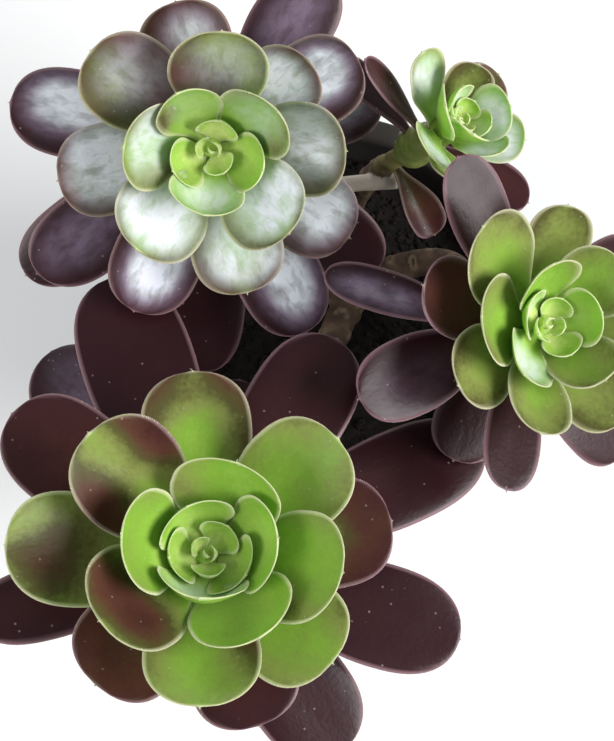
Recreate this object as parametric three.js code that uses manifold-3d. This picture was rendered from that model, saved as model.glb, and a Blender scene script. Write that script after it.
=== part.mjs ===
// A potted aeonium: four leaf rosettes on one branching woody stem, in a plain charcoal clay pot.
// Units are millimetres, +Z is up, and the origin is the middle of the pot's underside.
import * as THREE from 'three';
import { mergeVertices } from 'three/addons/utils/BufferGeometryUtils.js';
import Module from 'manifold-3d';

const wasm = await Module();
wasm.setup();

// ---- Driving dimensions -------------------------------------------------------------------

const POT_HEIGHT = 132;
const POT_FOOT_RADIUS = 54;
const POT_RIM_RADIUS = 82;
const RIM_BAND_HEIGHT = 30;
const RIM_BAND_STEP = 4;
const POT_WALL = 7;
const POT_BASE = 9;
const POT_SIDES = 40;
const DRAIN_RADIUS = 5.5;
const DRAIN_RING_RADIUS = 27;
const DRAIN_COUNT = 3;
const DRAIN_SIDES = 12;

const SOIL_TOP = 116;
const SOIL_DOME = 3;
const SOIL_SIDES = 32;
const ROOT_DEPTH = 34;

const SEAT_GAP = 0.3;
const STEM_SIDES = 8;
const CORE_SIDES = 7;

const GOLDEN_ANGLE = 137.508;
const LEAF_STATIONS = [0, 0.34, 0.66, 0.88, 1];
const BUD_STATIONS = [0, 0.6, 1];
const BUD_LEAVES = 6;
const WIDEST_AT = 0.66;
const ROOT_WIDTH = 0.26;
const TIP_WIDTH = 0.3;
const TIP_ROUNDNESS = 2.7;
const TIP_FULLNESS = 0.45;
const TIP_CURL = 0.45;
const LEAF_EDGE = 0.9;
const SHORTEST_EDGE = 0.08;

// Each rosette stands with its growing tip at `tip` and leans `lean` degrees towards the
// azimuth `towards`. Leaf 0 is the youngest, and each older leaf sits one golden angle round.
// The growth curves give [leaf, value] points: length and half width in millimetres, rise at
// the root and at the tip in degrees above the rosette's plane, cup as the margins' lift over
// the half width, and depth of the root under the tip. The last five lists hold what sets
// single leaves apart from the curves, because a grown plant is never quite regular.
const ROSETTES = {
  front: {
    tip: [-41, -113, 215], lean: 5, towards: -8, firstAzimuth: 222.5, hand: 1,
    count: 37, firstPurple: 21,
    length: [[0, 5], [4, 14], [7, 24], [9, 34], [12, 44], [15, 60], [18, 68],
      [22, 71], [26, 82], [30, 98], [36, 108]],
    width: [[0, 1.8], [2, 4], [4, 7.5], [6, 11.5], [7, 13.5], [8, 15], [10, 17], [12, 18.5],
      [16, 19], [24, 18.5], [30, 17.5], [36, 20]],
    rootRise: [[0, 72], [2, 48], [4, 34], [8, 40], [10, 50], [14, 42], [18, 30], [24, 12],
      [30, -2], [36, -14]],
    tipRise: [[0, 105], [2, 78], [4, 60], [8, 66], [10, 64], [14, 38], [18, 18], [24, 0],
      [30, -12], [36, -24]],
    cup: [[0, 0.9], [8, 0.6], [14, 0.3], [24, 0.1], [36, 0]],
    depth: [[0, 2], [8, 6], [16, 12], [24, 20], [36, 34]],
    turned: { 7: 12, 8: 18, 9: -13, 10: 17, 11: 4, 13: 6, 14: 1, 15: 13, 16: 5, 17: 1, 18: 2,
      19: 4, 20: 3, 22: 4, 23: -1, 24: 6, 26: -3, 27: 9, 28: -4, 30: -2, 32: 6, 36: -9 },
    stretched: { 10: 1.12, 11: 1.04, 12: 0.91, 13: 1.06, 14: 0.96, 16: 0.87, 17: 0.89,
      18: 0.97, 19: 0.77, 20: 0.86, 21: 0.74, 22: 0.84, 23: 1.05, 24: 0.69, 25: 1.08, 26: 0.9,
      28: 1.2, 30: 1.09, 32: 0.74, 33: 0.66 },
    widened: { 26: 0.7, 28: 1.14 },
    lifted: { 9: -6, 10: -8, 11: -12, 13: -3, 28: -5, 36: -3 },
    fallen: [29, 31, 34, 35],
  },
  back: {
    tip: [-41, 28, 222], lean: 33, towards: -84, firstAzimuth: 245, hand: 1,
    count: 40, firstPurple: 23,
    length: [[0, 5], [4, 15], [7, 30], [9, 40], [12, 48], [15, 54], [18, 56],
      [22, 64], [26, 76], [30, 84], [36, 90]],
    width: [[0, 1.8], [2, 4], [4, 7.5], [6, 10.5], [7, 12], [9, 14.5], [12, 17], [16, 16.5],
      [24, 16], [30, 15], [36, 15]],
    rootRise: [[0, 72], [2, 50], [4, 38], [6, 40], [8, 44], [10, 40], [14, 32], [18, 24],
      [24, 10], [30, -4], [36, -14]],
    tipRise: [[0, 105], [2, 80], [4, 64], [6, 66], [8, 68], [10, 50], [14, 30], [18, 16],
      [24, 0], [30, -12], [36, -24]],
    cup: [[0, 0.9], [8, 0.5], [14, 0.25], [24, 0.05], [36, 0]],
    depth: [[0, 2], [8, 6], [16, 12], [24, 20], [36, 34]],
    turned: { 5: -10, 6: -6, 7: -10, 8: -5, 9: -4, 10: -10, 11: -2, 12: -10, 13: -3, 14: -8, 15: -10,
      16: -2, 17: -20, 18: -10, 19: -11, 20: -12, 21: -9, 24: -10, 26: -3, 29: -6, 30: 3, 32: -7,
      34: -6, 35: -9, 39: 10 },
    stretched: { 7: 1.1, 8: 0.95, 9: 1.07, 10: 0.95, 12: 1.08, 13: 0.92, 14: 0.94, 15: 1.04,
      16: 0.93, 17: 0.8, 18: 0.94, 19: 0.95, 20: 0.8, 22: 0.86, 24: 1.05, 29: 1.07, 30: 0.78,
      32: 0.93, 34: 0.7, 35: 0.7, 39: 0.95 },
    widened: { 17: 0.88 },
    lifted: { 7: -8, 39: 12 },
    fallen: [25, 27, 28, 31, 33, 36, 37, 38],
  },
  right: {
    tip: [75, -33, 212], lean: 24, towards: -34, firstAzimuth: 262.5, hand: -1,
    count: 33, firstPurple: 19,
    length: [[0, 4], [4, 12], [7, 22], [9, 30], [12, 36], [15, 40], [18, 42],
      [22, 50], [26, 58], [30, 66], [36, 74]],
    width: [[0, 1.6], [2, 3.5], [4, 6], [6, 9], [7, 10.5], [9, 12.5], [12, 14], [36, 14]],
    rootRise: [[0, 72], [2, 50], [4, 38], [6, 42], [8, 46], [10, 44], [14, 38], [18, 30],
      [24, 12], [30, -4], [36, -14]],
    tipRise: [[0, 105], [2, 80], [4, 64], [6, 66], [8, 64], [10, 54], [14, 38], [18, 22],
      [24, 4], [30, -12], [36, -24]],
    cup: [[0, 0.9], [8, 0.5], [14, 0.25], [24, 0.05], [36, 0]],
    depth: [[0, 2], [8, 6], [16, 12], [24, 22], [36, 40]],
    turned: { 7: -4, 8: -18, 9: 10, 10: -25, 11: -12, 12: -4, 13: -22, 16: -14, 19: -4, 22: 2, 24: -1,
      29: 12, 32: -19 },
    stretched: { 8: 1.2, 9: 1.08, 11: 1.22, 13: 1.15, 14: 1.3, 16: 1.1, 19: 1.12, 21: 1.17,
      22: 1.24, 24: 1.2, 29: 0.72, 32: 0.92 },
    widened: { 11: 1.15, 13: 0.9, 14: 1.15, 17: 0.9, 21: 0.8, 22: 0.85, 32: 0.58 },
    lifted: { 8: -14, 11: -8, 13: -6, 14: -5, 16: -4 },
    fallen: [25, 26, 27, 30],
  },
  small: {
    tip: [47, 45, 208], lean: 32, towards: 2, firstAzimuth: 95, hand: 1,
    count: 25, firstPurple: 18,
    length: [[0, 3], [4, 8], [7, 14], [8, 17], [10, 22], [12, 23],
      [15, 26], [18, 30], [22, 38], [26, 44]],
    width: [[0, 1.3], [2, 2.6], [4, 4.2], [7, 6.5], [8, 7.5], [10, 10.5], [12, 10], [15, 11],
      [22, 10], [30, 11]],
    rootRise: [[0, 74], [3, 52], [5, 46], [8, 52], [10, 54], [14, 42], [18, 28], [22, 10],
      [30, -10]],
    tipRise: [[0, 105], [3, 80], [5, 72], [8, 72], [10, 62], [14, 44], [18, 22], [22, 2],
      [30, -22]],
    cup: [[0, 0.9], [8, 0.5], [14, 0.25], [24, 0.05]],
    depth: [[0, 2], [8, 5], [16, 12], [20, 20], [24, 26]],
    turned: { 8: 20, 10: -16, 11: 25, 14: 6, 15: -8, 19: -30, 20: 6, 24: -22 },
    stretched: { 11: 1.05, 13: 0.97, 14: 1.25, 15: 1.02, 16: 1.02, 17: 0.75, 19: 1.2, 20: 1.15,
      24: 0.95 },
    widened: { 19: 0.55, 24: 0.75 },
    lifted: { 14: -8, 24: -12 },
    fallen: [21, 22],
  },
};

// How far the stem's top stands under each rosette's tip, and the core's radii there.
const CORE_TOP_DEPTH = 0.5;
const CORE_TOP_RADIUS = 2.2;
const CORE_FOOT_RADIUS = 7.5;
const CORE_SWELL = 0.6;
const CORE_FOOT_MARGIN = 4;
const ROOT_SINK = 3;

// ---- Small helpers ------------------------------------------------------------------------

const radians = THREE.MathUtils.degToRad;
const vector = (list) => new THREE.Vector3(...list);

function readCurve(points, at) {
  const next = points.findIndex(([leaf]) => leaf >= at);
  if (next === 0) return points[0][1];
  if (next < 0) return points[points.length - 1][1];
  const [leafA, a] = points[next - 1];
  const [leafB, b] = points[next];
  return THREE.MathUtils.mapLinear(at, leafA, leafB, a, b);
}

function solidFromGeometry(geometry) {
  const bare = geometry.clone();
  bare.deleteAttribute('normal');
  bare.deleteAttribute('uv');
  const merged = mergeVertices(bare, 1e-4);
  return new wasm.Manifold(new wasm.Mesh({
    numProp: 3,
    vertProperties: new Float32Array(merged.attributes.position.array),
    triVerts: new Uint32Array(merged.index.array),
  }));
}

function geometryFromSolid(solid) {
  const mesh = solid.getMesh();
  const geometry = new THREE.BufferGeometry();
  geometry.setAttribute('position', new THREE.BufferAttribute(Float32Array.from(mesh.vertProperties), 3));
  geometry.setIndex(Array.from(mesh.triVerts));
  return geometry;
}

// A closed solid through rings of equal point counts, each ring a list of Vector3.
function loft(rings) {
  const sides = rings[0].length;
  const positions = rings.flat().flatMap((p) => [p.x, p.y, p.z]);
  const index = [];
  for (let ring = 0; ring < rings.length - 1; ring += 1) {
    for (let side = 0; side < sides; side += 1) {
      const a = ring * sides + side;
      const b = ring * sides + ((side + 1) % sides);
      index.push(a, b, a + sides);
      index.push(b, b + sides, a + sides);
    }
  }
  const last = (rings.length - 1) * sides;
  for (let side = 1; side < sides - 1; side += 1) {
    index.push(0, side + 1, side);
    index.push(last, last + side, last + side + 1);
  }
  const geometry = new THREE.BufferGeometry();
  geometry.setAttribute('position', new THREE.BufferAttribute(Float32Array.from(positions), 3));
  geometry.setIndex(index);
  return solidFromGeometry(geometry);
}

// The largest connected body of a solid, without edges too short to matter: loose scraps and
// sealed hollows are left behind.
function largestBody(solid) {
  const largest = (bodies) => bodies.reduce((best, body) => (body.volume() > best.volume() ? body : best));
  const plain = largest(solid.decompose()).asOriginal().simplify(SHORTEST_EDGE);
  return largest(plain.decompose());
}

function namedMesh(name, geometry, material) {
  const mesh = new THREE.Mesh(geometry, material);
  mesh.name = name;
  return mesh;
}

// ---- Pot and soil -------------------------------------------------------------------------

const POT_MOUTH_RADIUS = POT_RIM_RADIUS - RIM_BAND_STEP;
const potRadiusAt = (z) => THREE.MathUtils.mapLinear(z, 0, POT_HEIGHT, POT_FOOT_RADIUS, POT_MOUTH_RADIUS);

function makePot() {
  const bandFoot = POT_HEIGHT - RIM_BAND_HEIGHT;
  const innerTop = potRadiusAt(POT_HEIGHT) - POT_WALL;
  const innerFoot = potRadiusAt(POT_BASE) - POT_WALL;
  const outline = [
    [0, 0], [POT_FOOT_RADIUS - 2, 0], [POT_FOOT_RADIUS, 2],
    [potRadiusAt(bandFoot), bandFoot], [POT_RIM_RADIUS - 1.5, bandFoot], [POT_RIM_RADIUS, bandFoot + 2],
    [POT_RIM_RADIUS, POT_HEIGHT - 3], [POT_RIM_RADIUS - 2.5, POT_HEIGHT],
    [innerTop + 1.5, POT_HEIGHT], [innerTop, POT_HEIGHT - 2],
    [innerFoot, POT_BASE], [0, POT_BASE],
  ].map(([r, z]) => new THREE.Vector2(r, z));
  let pot = solidFromGeometry(new THREE.LatheGeometry(outline, POT_SIDES).rotateX(Math.PI / 2));
  for (let hole = 0; hole < DRAIN_COUNT; hole += 1) {
    const angle = (hole / DRAIN_COUNT) * 2 * Math.PI;
    const drain = new THREE.CylinderGeometry(DRAIN_RADIUS, DRAIN_RADIUS, POT_BASE * 3, DRAIN_SIDES);
    drain.rotateX(Math.PI / 2);
    drain.translate(DRAIN_RING_RADIUS * Math.cos(angle), DRAIN_RING_RADIUS * Math.sin(angle), 0);
    pot = pot.subtract(solidFromGeometry(drain));
  }
  return pot;
}

function makeSoil(trunkHole) {
  const inset = POT_WALL + SEAT_GAP;
  const outline = [
    [0, POT_BASE + SEAT_GAP],
    [potRadiusAt(POT_BASE) - inset, POT_BASE + SEAT_GAP],
    [potRadiusAt(SOIL_TOP) - inset, SOIL_TOP],
    [potRadiusAt(SOIL_TOP) * 0.62, SOIL_TOP + SOIL_DOME * 0.6],
    [0, SOIL_TOP + SOIL_DOME],
  ].map(([r, z]) => new THREE.Vector2(r, z));
  const soil = solidFromGeometry(new THREE.LatheGeometry(outline, SOIL_SIDES).rotateX(Math.PI / 2));
  return soil.subtract(trunkHole);
}

// ---- Rosettes -----------------------------------------------------------------------------

const radiusOfRoot = [[0, 0.5], [8, 3], [16, 5], [40, 6]];

function widthAlong(s) {
  if (s < WIDEST_AT) {
    return ROOT_WIDTH + (1 - ROOT_WIDTH) * Math.sin((0.5 * Math.PI * s) / WIDEST_AT) ** 1.6;
  }
  const past = (s - WIDEST_AT) / (1 - WIDEST_AT);
  return Math.max(TIP_WIDTH, Math.max(0, 1 - past ** TIP_ROUNDNESS) ** TIP_FULLNESS);
}

// The middle line of a leaf is an arc that leaves the core at the root's rise and reaches the
// tip's rise, and the margins and the far rim lift off it like the rim of a spoon. `grow`
// fattens the leaf on every side, for cutting its neighbours clear.
function makeLeaf(plan, leaf, grow = 0) {
  const length = readCurve(plan.length, leaf) * (plan.stretched[leaf] ?? 1);
  const halfWidth = readCurve(plan.width, leaf) * (plan.widened[leaf] ?? 1);
  const lift = plan.lifted[leaf] ?? 0;
  const rise = radians(readCurve(plan.rootRise, leaf) + lift);
  const bend = radians(readCurve(plan.tipRise, leaf) + lift) - rise || 1e-4;
  const cup = readCurve(plan.cup, leaf);
  const azimuth = radians(plan.firstAzimuth + plan.hand * GOLDEN_ANGLE * leaf + (plan.turned[leaf] ?? 0));
  const outward = new THREE.Vector3(Math.cos(azimuth), Math.sin(azimuth), 0);
  const sideways = new THREE.Vector3(-Math.sin(azimuth), Math.cos(azimuth), 0);
  const root = outward.clone().multiplyScalar(readCurve(radiusOfRoot, leaf));
  root.z = -readCurve(plan.depth, leaf);
  const midThickness = 0.9 + length / 55;

  const stations = leaf < BUD_LEAVES ? BUD_STATIONS : LEAF_STATIONS;
  const rings = stations.map((s, station) => {
    const angle = rise + bend * s;
    const reach = (length / bend) * (Math.sin(angle) - Math.sin(rise));
    const height = (length / bend) * (Math.cos(rise) - Math.cos(angle));
    const normal = outward.clone().multiplyScalar(-Math.sin(angle));
    normal.z = Math.cos(angle);
    const along = outward.clone().multiplyScalar(Math.cos(angle));
    along.z = Math.sin(angle);
    const middle = root.clone().addScaledVector(outward, reach);
    middle.z += height;
    if (station === 0) middle.addScaledVector(along, -grow - ROOT_SINK);
    if (station === stations.length - 1) middle.addScaledVector(along, grow);
    const half = halfWidth * widthAlong(s);
    const beyond = Math.max(0, (s - WIDEST_AT) / (1 - WIDEST_AT));
    const spoon = (across) => cup * halfWidth
      * ((half * across / halfWidth) ** 2 + TIP_CURL * beyond ** 2);
    const thin = THREE.MathUtils.lerp(1, 0.5, s);
    const point = (across, up) => middle.clone()
      .addScaledVector(sideways, half * across + grow * Math.sign(across))
      .addScaledVector(normal, spoon(across) + up);
    const edge = LEAF_EDGE / 2 + grow;
    const swell = Math.max(LEAF_EDGE / 2, (midThickness * thin) / 2) + grow;
    return [
      point(-1, edge), point(-1, -edge), point(0, -swell),
      point(1, -edge), point(1, edge), point(0, swell),
    ];
  });
  return loft(rings);
}

function makeCore(topDepth, footDepth, fullDepth, grow = 0) {
  const swell = (depth) => (depth / fullDepth) ** CORE_SWELL;
  const radiusAt = (depth) => THREE.MathUtils.lerp(CORE_TOP_RADIUS, CORE_FOOT_RADIUS, swell(depth)) + grow;
  const ringAt = (depth) => Array.from({ length: CORE_SIDES }, (_, side) => {
    const angle = ((side + 0.3) / CORE_SIDES) * 2 * Math.PI;
    return new THREE.Vector3(radiusAt(depth) * Math.cos(angle), radiusAt(depth) * Math.sin(angle), -depth);
  });
  return loft([ringAt(footDepth), ringAt(topDepth)]);
}

function rosetteSolids(plan) {
  const grown = Array.from({ length: plan.count }, (_, leaf) => leaf)
    .filter((leaf) => !plan.fallen.includes(leaf));
  const green = grown.filter((leaf) => leaf < plan.firstPurple);
  const purple = grown.filter((leaf) => leaf >= plan.firstPurple);
  const fullDepth = coreDepth(plan);
  const seam = readCurve(plan.depth, plan.firstPurple - 0.5);
  const unite = (list) => wasm.Manifold.union(list);
  const greenBody = largestBody(unite([
    makeCore(CORE_TOP_DEPTH, seam - SEAT_GAP / 2, fullDepth),
    ...green.map((leaf) => makeLeaf(plan, leaf)),
  ]));
  const clearance = unite([
    makeCore(CORE_TOP_DEPTH, seam + SEAT_GAP / 2, fullDepth, SEAT_GAP),
    ...green.map((leaf) => makeLeaf(plan, leaf, SEAT_GAP + 0.1)),
  ]);
  const purpleBody = largestBody(unite([
    makeCore(seam + SEAT_GAP / 2, fullDepth, fullDepth),
    ...purple.map((leaf) => makeLeaf(plan, leaf)),
  ]).subtract(clearance));
  return { green: greenBody, purple: purpleBody };
}

function coreDepth(plan) {
  return readCurve(plan.depth, plan.count - 1) + CORE_FOOT_MARGIN;
}

function axisOf(plan) {
  const axis = new THREE.Vector3(Math.sin(radians(plan.lean)), 0, Math.cos(radians(plan.lean)));
  return axis.applyAxisAngle(new THREE.Vector3(0, 0, 1), radians(plan.towards));
}

function placeRosette(plan) {
  const axis = axisOf(plan);
  const east = new THREE.Vector3(1, 0, 0).addScaledVector(axis, -axis.x).normalize();
  const north = axis.clone().cross(east);
  const group = new THREE.Group();
  group.quaternion.setFromRotationMatrix(new THREE.Matrix4().makeBasis(east, north, axis));
  group.position.set(...plan.tip);
  return group;
}

// ---- Stem ---------------------------------------------------------------------------------

const FORK = [8, 0, 131];
const TRUNK_FOOT = [6, 2, SOIL_TOP - ROOT_DEPTH];
const TRUNK_RADIUS = 8.5;
const FORK_RADIUS = 6.5;
const STUB_RADIUS = 3.4;

// Where each branch passes between the fork and its rosette, and its radius at the rosette.
const BRANCHES = {
  front: { through: [[-8, -40, 138], [-32, -88, 146]], radius: 4.6 },
  back: { through: [[-8, 26, 144], [-34, 50, 158]], radius: 4.6 },
  right: { through: [[26, 12, 137], [47, 12, 146], [56, -2, 155]], radius: 3.8 },
  small: { through: [[7, 32, 140], [17, 46, 150]], radius: 3.4 },
};
const STUB = [[-16, 34, 149], [4, 40, 156], [27, 41, 159]];
const STRAIGHT_NECK = 12;

// One old leaf still hangs on the thin branch, under the small rosette.
const HANGING_LEAF = {
  tip: [26, 43, 167], firstAzimuth: -54, hand: 1,
  length: [[0, 30]], width: [[0, 7.5]], rootRise: [[0, -20]], tipRise: [[0, -48]],
  cup: [[0, 0.5]], depth: [[0, 0]],
  turned: {}, stretched: {}, widened: {}, lifted: {},
};

function tube(points, radiusStart, radiusEnd, steps) {
  const curve = new THREE.CatmullRomCurve3(points, false, 'centripetal');
  const frames = curve.computeFrenetFrames(steps, false);
  const rings = Array.from({ length: steps + 1 }, (_, step) => {
    const t = step / steps;
    const centre = curve.getPointAt(t);
    const radius = THREE.MathUtils.lerp(radiusStart, radiusEnd, t);
    return Array.from({ length: STEM_SIDES }, (__, side) => {
      const angle = (side / STEM_SIDES) * 2 * Math.PI;
      return centre.clone()
        .addScaledVector(frames.normals[step], radius * Math.cos(angle))
        .addScaledVector(frames.binormals[step], radius * Math.sin(angle));
    });
  });
  return loft(rings);
}

function branchPoints(name) {
  const plan = ROSETTES[name];
  const axis = axisOf(plan);
  const top = vector(plan.tip).addScaledVector(axis, -coreDepth(plan) - SEAT_GAP);
  const neck = top.clone().addScaledVector(axis, -STRAIGHT_NECK);
  return [vector(FORK), ...BRANCHES[name].through.map(vector), neck, top];
}

function makeTrunk(grow) {
  const foot = vector(TRUNK_FOOT);
  foot.z -= grow;
  return tube([foot, vector(FORK)], TRUNK_RADIUS + grow, FORK_RADIUS + grow, 3);
}

function makeStem(grow) {
  const branches = Object.keys(BRANCHES)
    .map((name) => tube(branchPoints(name), FORK_RADIUS + grow, BRANCHES[name].radius + grow, 8));
  const stub = tube(STUB.map(vector), STUB_RADIUS + grow, STUB_RADIUS + grow, 3);
  return largestBody(wasm.Manifold.union([makeTrunk(grow), stub, ...branches]));
}

function makeHangingLeaf() {
  const leaf = makeLeaf(HANGING_LEAF, 0).translate(HANGING_LEAF.tip);
  return largestBody(leaf.subtract(makeStem(SEAT_GAP)));
}

// ---- The plant in its pot -----------------------------------------------------------------

const charcoalClay = new THREE.MeshStandardMaterial({ color: 0x322d29, roughness: 0.9, metalness: 0 });
const darkSoil = new THREE.MeshStandardMaterial({ color: 0x2b211b, roughness: 1, metalness: 0 });
const bark = new THREE.MeshStandardMaterial({ color: 0x8a6f55, roughness: 0.9, metalness: 0 });
const greenLeaf = new THREE.MeshStandardMaterial({ color: 0x7f9f4a, roughness: 0.45, metalness: 0 });
const purpleLeaf = new THREE.MeshStandardMaterial({ color: 0x4a2a33, roughness: 0.4, metalness: 0 });

const aeonium = new THREE.Group();
aeonium.add(namedMesh('pot', geometryFromSolid(makePot()), charcoalClay));
aeonium.add(namedMesh('soil', geometryFromSolid(makeSoil(makeTrunk(SEAT_GAP))), darkSoil));
aeonium.add(namedMesh('stem', geometryFromSolid(makeStem(0)), bark));
aeonium.add(namedMesh('hanging_leaf', geometryFromSolid(makeHangingLeaf()), purpleLeaf));

for (const [name, plan] of Object.entries(ROSETTES)) {
  const { green, purple } = rosetteSolids(plan);
  const group = placeRosette(plan);
  group.add(namedMesh(`rosette_${name}_green`, geometryFromSolid(green), greenLeaf));
  group.add(namedMesh(`rosette_${name}_purple`, geometryFromSolid(purple), purpleLeaf));
  aeonium.add(group);
}

export default aeonium;
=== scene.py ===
"""A potted aeonium: four leaf rosettes on one woody stem, in a plain clay pot.

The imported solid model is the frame. The leaves, stem, soil and pot are made again here, finer,
where their solids are. Plans are in millimetres, as a grower would measure, and meshes in metres.
"""

import math

import bmesh
import bpy
import numpy as np
from mathutils import Matrix, Vector, noise


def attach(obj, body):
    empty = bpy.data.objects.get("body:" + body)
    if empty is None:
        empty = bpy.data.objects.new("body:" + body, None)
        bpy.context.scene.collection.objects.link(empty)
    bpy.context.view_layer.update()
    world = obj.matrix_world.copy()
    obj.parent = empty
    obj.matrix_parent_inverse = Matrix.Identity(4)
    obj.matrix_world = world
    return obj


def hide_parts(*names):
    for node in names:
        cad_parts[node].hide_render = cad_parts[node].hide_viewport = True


bl_info = {
    "name": "Potted Aeonium",
    "version": (1, 0, 0),
    "blender": (4, 5, 0),
    "location": "3D View > Sidebar > Aeonium",
    "description": "Builds a potted aeonium around its packed solid model",
    "category": "Add Mesh",
}

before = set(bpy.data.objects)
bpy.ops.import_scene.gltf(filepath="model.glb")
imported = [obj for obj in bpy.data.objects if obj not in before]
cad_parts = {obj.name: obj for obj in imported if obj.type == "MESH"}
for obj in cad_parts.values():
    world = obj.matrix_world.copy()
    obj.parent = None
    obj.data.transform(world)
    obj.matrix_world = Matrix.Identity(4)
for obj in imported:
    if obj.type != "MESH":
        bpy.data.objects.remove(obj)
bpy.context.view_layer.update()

MM = 0.001

# ---- Plan of the plant, in millimetres and degrees ------------------------------------------

GOLDEN_ANGLE = 137.508

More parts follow.
